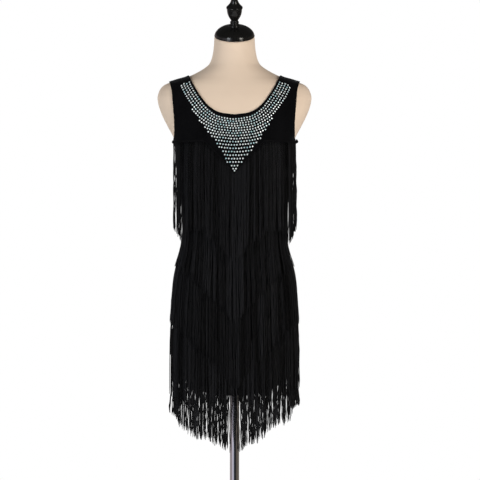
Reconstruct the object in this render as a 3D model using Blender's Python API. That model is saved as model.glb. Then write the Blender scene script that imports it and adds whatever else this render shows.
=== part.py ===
"""A fringed latin dance dress on a limbless dress form.

Metres, +Z up. The front of the dress looks along -Y, and the origin is on the floor, under the pole.
The torso and the dress share one surface: an oval section for each height, front and back half apart.
"""

import math

import bpy
import numpy as np
from mathutils import Matrix, Vector
from mathutils.geometry import delaunay_2d_cdt

# ---------------------------------------------------------------- driving dimensions
GAP = 0.0003  # between pieces that touch
SMALL_STEP = 0.0005  # for slopes taken from two near heights

CLOTH = 0.0015  # thickness of the dress cloth
EASE = 0.0014  # air between the torso and the cloth
OUTSIDE = EASE + CLOTH  # from the torso's surface to the outside of the cloth

TORSO_BOTTOM = 0.725
NECK_TOP = 1.510
NECK_TILT = math.radians(20)  # the neck's top plane and its cap lean forward
NECK_TILT_FROM = 1.445  # height where the lean starts
NECK_CENTRE_Y = -0.003
TORSO_SEGMENTS = 36

ARMPIT = 1.250
SHOULDER_OUTER = 1.3930  # height of the shoulder seam's outer end
SHOULDER_INNER = 1.4090  # and of its end at the neck
HEM_SIDE = 0.713

CAP_RADIUS = 0.0505
CAP_RIM = 0.004  # height of the cap's upright rim
CAP_DOME = 0.023  # rise of the dome above it
CAP_SEAT = 0.013  # radius of the dome's flat middle, under the finial
CAP_SEGMENTS = 32
FINIAL_SEGMENTS = 16

POLE_RADIUS = 0.0115
POLE_IN_TORSO = 0.060
POLE_SEGMENTS = 24
SOCKET_FLOOR = 0.008
BASE_RADIUS = 0.160
BASE_SEGMENTS = 40
COLLAR_RADIUS = 0.0200  # of the base's socket for the pole
COLLAR_TOP = 0.055

LOCK_THICK = 0.0016
LOCK_SHARE = 0.74  # width of a lock's root as a share of the pitch between locks
LOCK_TIP_SHARE = 0.62  # width of a lock's tip as a share of its root
STRIP_HEIGHT = 0.005  # backing strip that a row's locks hang from
STRIP_OFF_CLOTH = 0.0007
LAYER_STEP = 0.0030  # how far a row stands off for each lower row it passes
SEAM_MARGIN = 0.0020  # from a fringe row's end to the side seam
FRONT_LOCKS = 25
BACK_LOCKS = 22
TIP_RAGGED = 0.006
LOWEST_TIP = 0.460
CHORD_OFF = 0.0008  # most that a lock's straight stretches leave its true curve
ROOT_LENGTH = 0.006  # least height of a lock's first stretch


def table(names, rows):
    """A table as one array for each named column."""
    return {name: np.array(column) for name, column in zip(names.split(), zip(*rows))}


# The torso, from its flat bottom to the top of the neck. power shapes the oval: 2 is an ellipse.
TORSO_ROWS = [
    (TORSO_BOTTOM, 0.1420, 0.093, 0.099, 2.15),
    (0.745, 0.1445, 0.095, 0.101, 2.15),
    (0.780, 0.1475, 0.099, 0.107, 2.20),
    (0.820, 0.1488, 0.102, 0.111, 2.20),
    (0.860, 0.1480, 0.103, 0.109, 2.20),
    (0.900, 0.1448, 0.101, 0.101, 2.15),
    (0.930, 0.1400, 0.098, 0.091, 2.10),
    (0.960, 0.1310, 0.094, 0.082, 2.10),
    (0.990, 0.1240, 0.092, 0.075, 2.10),
    (1.020, 0.1220, 0.092, 0.073, 2.10),
    (1.060, 0.1240, 0.096, 0.075, 2.10),
    (1.120, 0.1285, 0.107, 0.081, 2.10),
    (1.165, 0.1335, 0.120, 0.087, 2.10),
    (1.190, 0.1385, 0.125, 0.091, 2.10),
    (1.215, 0.1435, 0.124, 0.095, 2.10),
    (1.250, 0.1500, 0.117, 0.097, 2.15),
    (1.281, 0.1655, 0.109, 0.098, 2.20),
    (1.310, 0.1800, 0.101, 0.097, 2.30),
    (1.340, 0.1905, 0.092, 0.094, 2.30),
    (1.355, 0.1925, 0.087, 0.092, 2.30),
    (1.370, 0.1890, 0.081, 0.089, 2.25),
    (1.385, 0.1785, 0.075, 0.086, 2.15),
    (1.397, 0.1515, 0.070, 0.082, 2.05),
    (1.407, 0.1180, 0.066, 0.078, 2.00),
    (1.421, 0.0885, 0.061, 0.071, 2.00),
    (1.430, 0.0740, 0.058, 0.068, 2.00),
    (1.440, 0.0630, 0.055, 0.063, 2.00),
    (1.456, 0.0562, 0.052, 0.058, 2.00),
    (1.478, 0.0522, 0.050, 0.051, 2.00),
    (NECK_TOP, 0.0500, 0.050, 0.044, 2.00),
]
# Below the hips the skirt leaves the torso and hangs straight.
SKIRT_ROWS = [
    (0.600, 0.1545, 0.101, 0.106, 2.20),
    (0.680, 0.1545, 0.103, 0.109, 2.20),
    (0.760, 0.1530, 0.1035, 0.1115, 2.20),
    (0.820, 0.1500, 0.1030, 0.1118, 2.20),
]
SKIRT_TOP = 0.840
MEAN_POWER = 2.15
SECTION_COLUMNS = "z half_width front back power"
TORSO = table(SECTION_COLUMNS, TORSO_ROWS)
DRESS = table(SECTION_COLUMNS, SKIRT_ROWS + [row for row in TORSO_ROWS if row[0] > SKIRT_TOP])

# Edges of the panels from the middle outwards, as x and z.
HEM = [(0.0, 0.615), (0.035, 0.6155), (0.070, 0.6215), (0.102, 0.634), (0.128, 0.660), (0.149, 0.695)]
ARMHOLE = [(0.1508, 1.262), (0.1503, 1.280), (0.1510, 1.300), (0.1540, 1.335), (0.1575, 1.370), (0.1620, 1.387)]
FRONT_NECK = [(0.1005, 1.381), (0.0817, 1.352), (0.0606, 1.3285), (0.0336, 1.3146), (0.0, 1.3102)]
BACK_NECK = [(0.1010, 1.386), (0.0860, 1.368), (0.0640, 1.354), (0.0350, 1.3465), (0.0, 1.344)]

# Spacing of the points on those edges.
HEM_SPACING = 0.018
SIDE_SPACING = 0.025
CURVE_SPACING = 0.012
SHOULDER_SPACING = 0.009
# Pitch of a panel's points, round it and up it, from these heights on.
PITCHES = table(
    "from_z across up",
    [
        (0.000, 0.028, 0.038),
        (0.940, 0.026, 0.022),
        (1.060, 0.024, 0.027),
        (1.215, 0.015, 0.013),
        (1.280, 0.018, 0.020),
        (1.365, 0.011, 0.011),
    ],
)
EDGE_CLEARANCE = 0.45  # least distance of those points from an edge, as a share of the pitch round it

# Heights of the torso's rings.
RINGS = [
    *(TORSO_BOTTOM, 0.775, 0.825, 0.875, 0.925, 0.955, 0.980, 1.000, 1.020, 1.045, 1.080, 1.120, 1.160),
    *(1.195, 1.225, 1.243, 1.256, 1.275, 1.305, 1.335, 1.356, 1.370, 1.381, 1.390, 1.396, 1.4005),
    *(1.404, 1.4075, 1.411, 1.415, 1.421, 1.430, 1.441, 1.460, NECK_TOP),
]

# Profile of the finial as radius and height: foot, ring, urn with a bead, slim neck and round tip.
FINIAL = [
    (0.0000, 0.0000),
    (0.0125, 0.0000),
    (0.0118, 0.0030),
    (0.0100, 0.0060),
    (0.0105, 0.0075),
    (0.0112, 0.0095),
    (0.0100, 0.0115),
    (0.0088, 0.0135),
    (0.0118, 0.0185),
    (0.0160, 0.0265),
    (0.0182, 0.0350),
    (0.0186, 0.0400),
    (0.0205, 0.0425),
    (0.0205, 0.0455),
    (0.0180, 0.0490),
    (0.0122, 0.0555),
    (0.0085, 0.0620),
    (0.0078, 0.0670),
    (0.0100, 0.0720),
    (0.0135, 0.0780),
    (0.0140, 0.0850),
    (0.0110, 0.0915),
    (0.0060, 0.0955),
    (0.0000, 0.0970),
]

# Headers of the fringe rows, top to bottom: heights in the middle and at the side seam, the share
# of the half width where the V ends, how far it bows down (1 is straight), and the strands' length.
ROW_COLUMNS = "centre side corner bow length"
FRONT_ROWS = table(
    ROW_COLUMNS,
    [
        (1.1630, 1.2430, 0.50, 1.0, 0.219),
        (1.0150, 1.1550, 1.00, 1.0, 0.219),
        (0.8550, 1.0200, 1.00, 1.0, 0.222),
        (0.6975, 0.9000, 1.00, 1.0, 0.222),
        (0.6775, 0.7725, 1.00, 1.35, 0.201),
    ],
)
BACK_ROWS = table(
    ROW_COLUMNS,
    [
        (1.1400, 1.2430, 1.00, 1.0, 0.219),
        (0.9950, 1.0900, 1.00, 1.0, 0.219),
        (0.8350, 0.9300, 1.00, 1.0, 0.219),
        (0.6775, 0.7725, 1.00, 1.35, 0.201),
    ],
)

FRONT, BACK = -1, 1  # the sign of Y on that half


# ---------------------------------------------------------------- scene and materials
def clear_scene():
    for obj in list(bpy.data.objects):
        bpy.data.objects.remove(obj)


def material(name, colour, roughness, metallic=0.0):
    made = bpy.data.materials.new(name)
    made.use_nodes = True
    shader = made.node_tree.nodes["Principled BSDF"]
    shader.inputs["Base Color"].default_value = (*colour, 1.0)
    shader.inputs["Roughness"].default_value = roughness
    shader.inputs["Metallic"].default_value = metallic
    made.diffuse_color = (*colour, 1.0)
    return made


def solid(name, points, faces, finish, sharp=math.radians(40)):
    """One closed mesh object, with its faces turned out and its round places smooth."""
    mesh = bpy.data.meshes.new(name)
    mesh.from_pydata([tuple(p) for p in points], [], [tuple(f) for f in faces])
    obj = bpy.data.objects.new(name, mesh)
    bpy.context.scene.collection.objects.link(obj)
    bpy.context.view_layer.objects.active = obj
    obj.select_set(True)
    bpy.ops.object.mode_set(mode="EDIT")
    bpy.ops.mesh.select_all(action="SELECT")
    bpy.ops.mesh.normals_make_consistent(inside=False)
    bpy.ops.object.mode_set(mode="OBJECT")
    obj.select_set(False)
    mesh.materials.append(finish)
    mesh.shade_smooth()
    mesh.set_sharp_from_angle(angle=sharp)
    return obj


# ---------------------------------------------------------------- the shared surface
def read(tab, column, z):
    """A column at any height, on a smooth curve that never swings past its rows."""
    knots, values = tab["z"], tab[column]
    z = np.clip(z, knots[0], knots[-1])
    rise = np.diff(values) / np.diff(knots)
    slope = np.concatenate([rise[:1], np.zeros(len(rise) - 1), rise[-1:]])
    same_way = rise[:-1] * rise[1:] > 0
    pairs = np.where(same_way, rise[:-1] + rise[1:], 1.0)
    slope[1:-1] = np.where(same_way, 2 * rise[:-1] * rise[1:] / pairs, 0.0)
    i = np.clip(np.searchsorted(knots, z, side="right") - 1, 0, len(rise) - 1)
    step = knots[i + 1] - knots[i]
    t = (z - knots[i]) / step
    ends = (1 + 2 * t) * (1 - t) ** 2 * values[i] + t * t * (3 - 2 * t) * values[i + 1]
    return ends + step * t * (1 - t) * ((1 - t) * slope[i] - t * slope[i + 1])


def section(tab, half, z):
    """Half width, depth and power of the oval at height z, on the front or the back half."""
    depth = read(tab, "front" if half == FRONT else "back", z)
    return read(tab, "half_width", z), depth, read(tab, "power", z)


def surface(tab, half, angle, z, off):
    """Points at an angle from the middle of that half, off metres out along the surface's normal."""
    angle, z, off = np.broadcast_arrays(angle, z, off)
    width, depth, power = section(tab, half, z)
    share_x = np.abs(np.sin(angle)) ** (2 / power)
    share_y = np.maximum(np.cos(angle), 0) ** (2 / power)
    sign = np.sign(np.sin(angle))
    above, below = section(tab, half, z + SMALL_STEP), section(tab, half, z - SMALL_STEP)
    width_slope = (above[0] - below[0]) / (2 * SMALL_STEP)
    depth_slope = (above[1] - below[1]) / (2 * SMALL_STEP)
    normal = np.stack(
        [
            sign * share_x ** (power - 1) / width,
            half * share_y ** (power - 1) / depth,
            -(share_x**power) * width_slope / width - share_y**power * depth_slope / depth,
        ],
        axis=-1,
    )
    normal /= np.linalg.norm(normal, axis=-1, keepdims=True)
    points = np.stack([sign * width * share_x, half * depth * share_y, z], axis=-1)
    return points + normal * off[..., None]


def angle_at(tab, x, z):
    """The angle of the surface point that is x from the middle at height z."""
    share = np.clip(np.abs(x) / (read(tab, "half_width", z) + OUTSIDE), 0, 1)
    return np.arcsin(share ** (read(tab, "power", z) / 2)) * np.where(x < 0, -1, 1)


# ---------------------------------------------------------------- lofted and turned pieces
def lofted(name, rings, finish):
    """Rings of equally many points, joined in order, with a flat face on the first and the last."""
    count = len(rings[0])
    points = np.concatenate(rings)
    faces = [list(range(count)), list(range(len(points) - count, len(points)))]
    for lower in range(0, len(points) - count, count):
        for i in range(count):
            j = (i + 1) % count
            faces.append((lower + i, lower + j, lower + count + j, lower + count + i))
    return solid(name, points, faces, finish)


def turned(name, profile, segments, finish):
    """A profile of radius and height, turned about Z. Its first and last points lie on the axis."""
    points = [(0, 0, profile[0][1])]
    faces = []
    for radius, height in profile[1:-1]:
        for i in range(segments):
            turn = 2 * math.pi * i / segments
            points.append((radius * math.cos(turn), radius * math.sin(turn), height))
    points.append((0, 0, profile[-1][1]))
    last = len(points) - 1
    for i in range(segments):
        j = (i + 1) % segments
        faces.append((0, 1 + i, 1 + j))
        faces.append((last, last - segments + i, last - segments + j))
        for ring in range(len(profile) - 3):
            low, high = 1 + ring * segments, 1 + (ring + 1) * segments
            faces.append((low + i, low + j, high + j, high + i))
    return solid(name, points, faces, finish)


def build_torso(finish):
    """The torso with its rounded shoulder ends, and a blind bore for the pole in its flat bottom."""
    turn = 2 * np.pi * np.arange(TORSO_SEGMENTS) / TORSO_SEGMENTS
    in_front = np.cos(turn) >= 0
    bore = POLE_RADIUS + GAP

    def circle(radius, z):
        return np.stack([radius * np.sin(turn), -radius * np.cos(turn), np.full(TORSO_SEGMENTS, z)], axis=1)

    def oval(z):
        angle = np.where(in_front, turn, np.pi - turn)
        front = surface(TORSO, FRONT, angle, z, 0.0)
        back = surface(TORSO, BACK, angle, z, 0.0)
        ring = np.where(in_front[:, None], front, back)
        lean = np.clip((z - NECK_TILT_FROM) / (NECK_TOP - NECK_TILT_FROM), 0, 1)
        ring[:, 2] += lean * ring[:, 1] * math.tan(NECK_TILT)
        return ring

    rings = [circle(bore, TORSO_BOTTOM + POLE_IN_TORSO), circle(bore, TORSO_BOTTOM)]
    rings += [oval(z) for z in RINGS]
    return lofted("form_torso", rings, finish)


def build_neck_cap(finish):
    """A low glossy dome on the neck's sloping top."""
    bevel, steps = 0.001, 5
    profile = [(0, 0), (CAP_RADIUS - bevel, 0), (CAP_RADIUS, bevel), (CAP_RADIUS, CAP_RIM)]
    for i in range(1, steps + 1):
        turn = 0.5 * math.pi * i / steps
        radius = CAP_SEAT + (CAP_RADIUS - CAP_SEAT) * math.cos(turn)
        profile.append((radius, CAP_RIM + CAP_DOME * math.sin(turn)))
    profile.append((0, CAP_RIM + CAP_DOME))
    lean_on_neck(turned("neck_cap", profile, CAP_SEGMENTS, finish), GAP)


def build_finial(finish):
    """A turned knob on the cap."""
    lean_on_neck(turned("finial", FINIAL, FINIAL_SEGMENTS, finish), CAP_RIM + CAP_DOME + 2 * GAP)


def lean_on_neck(obj, height):
    """Puts a turned piece on the neck's sloping top, this far above it."""
    top = Vector((0, NECK_CENTRE_Y, NECK_TOP + NECK_CENTRE_Y * math.tan(NECK_TILT)))
    lean = Matrix.Rotation(NECK_TILT, 4, "X")
    obj.location = top + lean @ Vector((0, 0, height))
    obj.rotation_euler = lean.to_euler()


def build_stand(chrome, black):
    """The pole, and a plain weighted disc with a socket for it."""
    bore = POLE_RADIUS + GAP
    base_profile = [
        (0, 0),
        (BASE_RADIUS - 0.002, 0),
        (BASE_RADIUS, 0.002),
        (BASE_RADIUS, 0.009),
        (BASE_RADIUS - 0.006, 0.014),
        (0.060, 0.019),
        (COLLAR_RADIUS + 0.006, 0.024),
        (COLLAR_RADIUS, 0.031),
        (COLLAR_RADIUS - 0.001, COLLAR_TOP),
        (bore, COLLAR_TOP),
        (bore, SOCKET_FLOOR),
        (0, SOCKET_FLOOR),
    ]
    turned("stand_base", base_profile, BASE_SEGMENTS, black)
    foot = SOCKET_FLOOR + GAP
    length = TORSO_BOTTOM + POLE_IN_TORSO - GAP - foot
    pole_profile = [(0, 0), (POLE_RADIUS, 0), (POLE_RADIUS, length), (0, length)]
    pole = turned("pole", pole_profile, POLE_SEGMENTS, chrome)
    pole.location = (0, 0, foot)


# ---------------------------------------------------------------- dress panels
def running_length(points):
    return np.concatenate([[0], np.cumsum(np.linalg.norm(np.diff(points, axis=0), axis=1))])


def curve_through(points):
    """Close points on a smooth curve through these."""
    points = np.array(points)
    run = running_length(points)
    along = {"z": run, "x": points[:, 0], "y": points[:, 1]}
    at = np.linspace(0, run[-1], 200)
    return np.stack([read(along, "x", at), read(along, "y", at)], axis=1)


def evenly(points, spacing):
    """Points this far apart along a line of close points."""
    run = running_length(points)
    at = np.linspace(0, run[-1], max(2, round(run[-1] / spacing) + 1))
    return np.stack([np.interp(at, run, points[:, 0]), np.interp(at, run, points[:, 1])], axis=1)


class Flat:
    """The dress surface laid out flat: u goes round it from the middle, v up along its side."""

    WIDTH_PER_RADIAN = 0.125

    def __init__(self):
        self.z = np.linspace(HEM[0][1] - 0.01, 1.42, 1200)
        steps = np.hypot(np.diff(self.z), np.diff(read(DRESS, "half_width", self.z)))
        self.v = np.concatenate([[0], np.cumsum(steps)])

    def place(self, angle, z):
        return np.stack([angle * self.WIDTH_PER_RADIAN, np.interp(z, self.z, self.v)], axis=-1)

    def back(self, uv):
        return uv[:, 0] / self.WIDTH_PER_RADIAN, np.interp(uv[:, 1], self.v, self.z)


def half_outline(flat, neck):
    """One half of a panel's outline, from the hem's middle round to the neckline's middle."""
    right = 0.5 * np.pi

    def seam_line(low, high, spacing):
        ends = flat.place(np.array([right, right]), np.array([low, high]))
        count = max(2, round(abs(ends[1, 1] - ends[0, 1]) / spacing) + 1)
        return np.linspace(ends[0], ends[1], count)

    def edge_line(start, middle, end, spacing):
        points = [p for p in (start, *middle, end) if p is not None]
        line = curve_through(points)
        angle = angle_at(DRESS, line[:, 0], line[:, 1])
        if start is not None:
            angle[0] = right
        if end is not None:
            angle[-1] = right
        return evenly(flat.place(angle, line[:, 1]), spacing)

    def on_side(z):
        return (float(read(DRESS, "half_width", z) + OUTSIDE), z)

    pieces = [
        edge_line(None, HEM, on_side(HEM_SIDE), HEM_SPACING),
        seam_line(HEM_SIDE, ARMPIT, SIDE_SPACING),
        edge_line(on_side(ARMPIT), ARMHOLE, on_side(SHOULDER_OUTER), CURVE_SPACING),
        seam_line(SHOULDER_OUTER, SHOULDER_INNER, SHOULDER_SPACING),
        edge_line(on_side(SHOULDER_INNER), neck, None, CURVE_SPACING),
    ]
    return np.concatenate([pieces[0]] + [piece[1:] for piece in pieces[1:]])


def inside(outline, points):
    """Which points lie in the closed outline."""
    a, b = outline, np.roll(outline, -1, axis=0)
    x, y = points[:, None, 0], points[:, None, 1]
    crosses = (a[:, 1] > y) != (b[:, 1] > y)
    rise = np.where(b[:, 1] == a[:, 1], 1.0, b[:, 1] - a[:, 1])
    at = a[:, 0] + (y - a[:, 1]) * (b[:, 0] - a[:, 0]) / rise
    return (crosses & (x < at)).sum(axis=1) % 2 == 1


def far_from(outline, points, least):
    """Which points keep at least this distance to the outline."""
    a, b = outline, np.roll(outline, -1, axis=0)
    side = b - a
    t = ((points[:, None] - a) * side).sum(axis=2) / (side * side).sum(axis=1)
    nearest = a + np.clip(t, 0, 1)[..., None] * side
    return np.linalg.norm(points[:, None] - nearest, axis=2).min(axis=1) > least


def lattice(flat, outline):
    """Staggered points inside the outline, closer together where the surface turns faster."""
    reach = 0.5 * np.pi * flat.WIDTH_PER_RADIAN
    points = []
    v, odd = 0.5 * PITCHES["up"][0], 0
    while v < flat.v[-1]:
        zone = np.searchsorted(PITCHES["from_z"], np.interp(v, flat.v, flat.z), side="right") - 1
        across = PITCHES["across"][zone]
        columns = np.arange(-math.ceil(reach / across), math.ceil(reach / across) + 1)
        line = np.array([(column * across + odd * across / 2, v) for column in columns])
        line = line[inside(outline, line)]
        points.append(line[far_from(outline, line, EDGE_CLEARANCE * across)])
        v, odd = v + PITCHES["up"][zone], 1 - odd
    return np.concatenate(points)


def build_panel(name, half, neck, finish):
    """A panel of cloth over one half of the torso, as one closed wall."""
    flat = Flat()
    right = half_outline(flat, neck)
    left = right[-2:0:-1] * (-1, 1)
    outline = np.concatenate([right, left])
    count = len(outline)
    places = np.concatenate([outline, lattice(flat, outline)])
    loop = [(i, (i + 1) % count) for i in range(count)]
    found = delaunay_2d_cdt([Vector(p) for p in places], loop, [], 1, 1e-6)
    angle, z = flat.back(np.array([tuple(p) for p in found[0]]))
    outer = surface(DRESS, half, angle, z, OUTSIDE)
    inner = surface(DRESS, half, angle, z, EASE)
    points = np.concatenate([outer, inner])
    points[:, 1] += half * GAP / 2
    below = len(outer)
    faces = [tuple(face) for face in found[2]]
    faces += [tuple(below + i for i in reversed(face)) for face in found[2]]
    edges = {}
    for face in found[2]:
        for a, b in zip(face, face[1:] + face[:1]):
            edges[frozenset((a, b))] = None if frozenset((a, b)) in edges else (a, b)
    faces += [(b, a, below + a, below + b) for a, b in filter(None, edges.values())]
    return solid(name, points, faces, finish)


# ---------------------------------------------------------------- fringe
def header_height(rows, row, reach):
    """Height of a row's header where the surface is this share of its half width from the middle."""
    rise = np.minimum(np.abs(reach) / rows["corner"][row], 1) ** rows["bow"][row]
    return rows["centre"][row] + (rows["side"][row] - rows["centre"][row]) * rise


def layer_off(rows, row, reach, z):
    """How far a row's strands stand off the cloth: a step more for each lower header they pass."""
    total = np.full(np.shape(z), STRIP_OFF_CLOTH)
    for lower in range(row + 1, len(rows["centre"])):
        start = header_height(rows, lower - 1, reach)
        end = header_height(rows, lower, reach)
        total = total + LAYER_STEP * np.clip((start - z) / (start - end), 0, 1)
    return total


def hang(radius):
    """What strands do down this outline: they hang plumb, and lean on whatever comes further out."""
    return np.maximum.accumulate(radius)


def out_to_oval(start, way, width, depth, power):
    """How far from start along way the ovals of these sizes lie."""
    low, high = np.full(len(width), -0.02), np.full(len(width), 0.15)
    for _ in range(30):
        middle = (low + high) / 2
        x = np.abs(start[0] + way[0] * middle) / width
        y = np.abs(start[1] + way[1] * middle) / depth
        outside = x**power + y**power > 1
        low, high = np.where(outside, low, middle), np.where(outside, middle, high)
    return (low + high) / 2


def thinned(out, z, most_off):
    """The fewest points of a curve that keep it within most_off."""
    a, b = 0, len(z) - 1
    chord = out[a] + (out[b] - out[a]) * (z - z[a]) / (z[b] - z[a])
    worst = int(np.argmax(np.abs(out - chord)))
    if abs(out[worst] - chord[worst]) <= most_off or worst in (a, b):
        return [a, b]
    first = thinned(out[: worst + 1], z[: worst + 1], most_off)
    rest = thinned(out[worst:], z[worst:], most_off)
    return first + [worst + i for i in rest[1:]]


def sleeve(rows, row, half, reach):
    """Heights from the header down, with the half width and depth that this row's strands hang at.

    They rest on the cloth, or on the strands of the next row down where these stand further off.
    """
    top = float(header_height(rows, row, reach))
    z = np.linspace(top, LOWEST_TIP, 120)
    width, depth, _ = section(DRESS, half, z)
    off = OUTSIDE + layer_off(rows, row, reach, z) + LOCK_THICK / 2
    width, depth = width + off, depth + off
    if row + 1 < len(rows["centre"]):
        lower_z, lower_width, lower_depth = sleeve(rows, row + 1, half, reach)
        under = LAYER_STEP * np.where(z <= lower_z[0], 1, -100)
        width = np.maximum(width, np.interp(-z, -lower_z, lower_width) + under)
        depth = np.maximum(depth, np.interp(-z, -lower_z, lower_depth) + under)
    tip = top - rows["length"][row] - TIP_RAGGED
    held = z >= tip
    width[held] = hang(width[held])
    depth[held] = hang(depth[held])
    return z, width, depth


def lock_path(rows, row, half, angle, length):
    """Where a lock hangs: its header point, its outward way, and how far out it is at each height."""
    reach = abs(math.sin(angle)) ** (2 / MEAN_POWER)
    heights, widths, depths = sleeve(rows, row, half, reach)
    z = np.linspace(heights[0], heights[0] - length, 60)
    width, depth = np.interp(-z, -heights, widths), np.interp(-z, -heights, depths)
    power = section(DRESS, half, z)[2]
    share_x, share_y = abs(math.sin(angle)) ** (2 / power[0]), math.cos(angle) ** (2 / power[0])
    sign = math.copysign(1, angle)
    start = np.array([sign * width[0] * share_x, half * depth[0] * share_y])
    way = np.array(
        [sign * share_x ** (power[0] - 1) / width[0], half * share_y ** (power[0] - 1) / depth[0]]
    )
    way /= np.linalg.norm(way)
    return start, way, out_to_oval(start, way, width, depth, power), z


def even_angles(half, z, count):
    """Angles that part one half of the section at this height into equal lengths."""
    angle = np.linspace(-0.5 * np.pi, 0.5 * np.pi, 721)
    line = surface(DRESS, half, angle, z, OUTSIDE)
    run = running_length(line[:, :2])
    lock_pitch = (run[-1] - 2 * SEAM_MARGIN) / count
    gap = lock_pitch * (1 - LOCK_SHARE)
    starts = SEAM_MARGIN + lock_pitch * np.arange(count) + gap / 2
    return np.interp(starts, run, angle), np.interp(starts + lock_pitch - gap, run, angle)


def build_fringe_row(name, rows, row, half, count, finish):
    """A backing strip along the header with its locks, as one body.

    Each lock is one stretch of the strip whose underside runs on down to the lock's tip.
    """
    mean_height = float(rows["centre"][row] + rows["side"][row]) / 2
    starts, ends = even_angles(half, mean_height, count)
    stations = np.stack([starts, ends], axis=1).reshape(-1)
    reach = np.abs(np.sin(stations)) ** (2 / MEAN_POWER)
    height = header_height(rows, row, reach)
    base = OUTSIDE + STRIP_OFF_CLOTH
    corners = [
        surface(DRESS, half, stations, height, base),
        surface(DRESS, half, stations, height, base + LOCK_THICK),
        surface(DRESS, half, stations, height + STRIP_HEIGHT, base + LOCK_THICK),
        surface(DRESS, half, stations, height + STRIP_HEIGHT, base),
    ]
    points = [tuple(p) for p in np.stack(corners, axis=1).reshape(-1, 3)]
    last = 4 * (len(stations) - 1)
    faces = [(0, 1, 2, 3), (last + 3, last + 2, last + 1, last)]
    for i in range(len(stations) - 1):
        a, b = 4 * i, 4 * i + 4
        faces += [(a + 1, a + 2, b + 2, b + 1), (a + 2, a + 3, b + 3, b + 2), (a + 3, a, b, b + 3)]
        if i % 2:
            faces.append((a, a + 1, b + 1, b))
    for lock in range(count):
        middle = (starts[lock] + ends[lock]) / 2
        ragged = TIP_RAGGED * math.sin(2.3 * (count - 1 - 2 * lock) ** 2 + row)
        start, way, out, z = lock_path(rows, row, half, middle, rows["length"][row] + ragged)
        a = 8 * lock
        ring = [a, a + 1, a + 5, a + 4]
        root = np.array([points[i] for i in ring])
        width = np.linalg.norm((root[3] - root[0])[:2])
        across = np.array([-way[1], way[0]])
        if across @ (root[3] - root[0])[:2] < 0:
            across = -across
        clear_of_root = root[:, 2].min() - ROOT_LENGTH
        stops = [i for i in thinned(out, z, CHORD_OFF) if z[i] < clear_of_root]
        for i in stops:
            share = 1 - (1 - LOCK_TIP_SHARE) * (z[0] - z[i]) / (z[0] - z[-1])
            centre = start + way * (out[i] + CHORD_OFF / 2)
            side, thick = across * width * share / 2, way * LOCK_THICK / 2
            new = [centre - side - thick, centre - side + thick, centre + side + thick, centre + side - thick]
            first = len(points)
            points += [(float(p[0]), float(p[1]), float(z[i])) for p in new]
            following = [first, first + 1, first + 2, first + 3]
            faces += [
                (ring[k], ring[(k + 1) % 4], following[(k + 1) % 4], following[k]) for k in range(4)
            ]
            ring = following
        faces.append(tuple(ring))
    return solid(name, points, faces, finish)


def build():
    clear_scene()
    skin = material("form_skin", (0.78, 0.68, 0.57), 0.6)
    gloss = material("black_gloss", (0.012, 0.012, 0.012), 0.15)
    chrome = material("chrome", (0.75, 0.75, 0.76), 0.12, metallic=1.0)
    enamel = material("black_enamel", (0.02, 0.02, 0.02), 0.35)
    velvet = material("black_velvet", (0.010, 0.010, 0.012), 0.9)
    strands = material("black_fringe", (0.015, 0.015, 0.017), 0.55)

    build_torso(skin)
    build_neck_cap(gloss)
    build_finial(gloss)
    build_stand(chrome, enamel)
    build_panel("front_panel", FRONT, FRONT_NECK, velvet)
    build_panel("back_panel", BACK, BACK_NECK, velvet)
    for row in range(len(FRONT_ROWS["centre"])):
        build_fringe_row(f"front_fringe_{row + 1}", FRONT_ROWS, row, FRONT, FRONT_LOCKS, strands)
    for row in range(len(BACK_ROWS["centre"])):
        build_fringe_row(f"back_fringe_{row + 1}", BACK_ROWS, row, BACK, BACK_LOCKS, strands)


build()
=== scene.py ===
"""Looks of the fringed latin dance dress and its limbless dress form.

Metres, +Z up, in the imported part's own frame: the front of the dress looks along -Y.
The dress surface, its edges and its fringe rows are worked out from the same sizes as the solids.
"""

import math

import bpy
import numpy as np
from mathutils import Matrix, Vector
from mathutils.geometry import delaunay_2d_cdt


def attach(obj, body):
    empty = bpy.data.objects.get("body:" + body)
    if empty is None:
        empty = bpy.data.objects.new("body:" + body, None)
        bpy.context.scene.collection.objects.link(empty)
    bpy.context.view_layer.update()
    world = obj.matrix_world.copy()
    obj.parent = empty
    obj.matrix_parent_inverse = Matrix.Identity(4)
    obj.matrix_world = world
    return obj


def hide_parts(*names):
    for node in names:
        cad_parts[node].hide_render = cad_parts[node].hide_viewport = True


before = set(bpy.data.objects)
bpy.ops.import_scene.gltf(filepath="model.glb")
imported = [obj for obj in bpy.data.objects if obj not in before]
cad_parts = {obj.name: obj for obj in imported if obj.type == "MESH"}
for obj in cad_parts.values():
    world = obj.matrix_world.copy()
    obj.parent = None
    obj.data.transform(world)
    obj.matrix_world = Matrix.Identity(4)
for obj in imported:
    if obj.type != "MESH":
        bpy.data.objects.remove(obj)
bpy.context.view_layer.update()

ROOT = "root"
STONE_SEED = 7
FRINGE_SEED = 3

# ---------------------------------------------------------------- sizes shared with the solids
GAP = 0.0003
SMALL_STEP = 0.0005  # between the heights that a slope is read from
CLOTH = 0.0015
EASE = 0.0014
OUTSIDE = EASE + CLOTH

TORSO_BOTTOM = 0.725
NECK_TOP = 1.510
NECK_TILT = math.radians(20)
NECK_TILT_FROM = 1.445
NECK_CENTRE_Y = -0.003

ARMPIT = 1.250
SHOULDER_OUTER = 1.3930
SHOULDER_INNER = 1.4090
HEM_SIDE = 0.713

CAP_RADIUS = 0.0505
CAP_RIM = 0.004
CAP_DOME = 0.023
CAP_SEAT = 0.013

POLE_RADIUS = 0.0115
POLE_IN_TORSO = 0.060
SOCKET_FLOOR = 0.008
BASE_RADIUS = 0.160
COLLAR_RADIUS = 0.0200
COLLAR_TOP = 0.055

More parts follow.
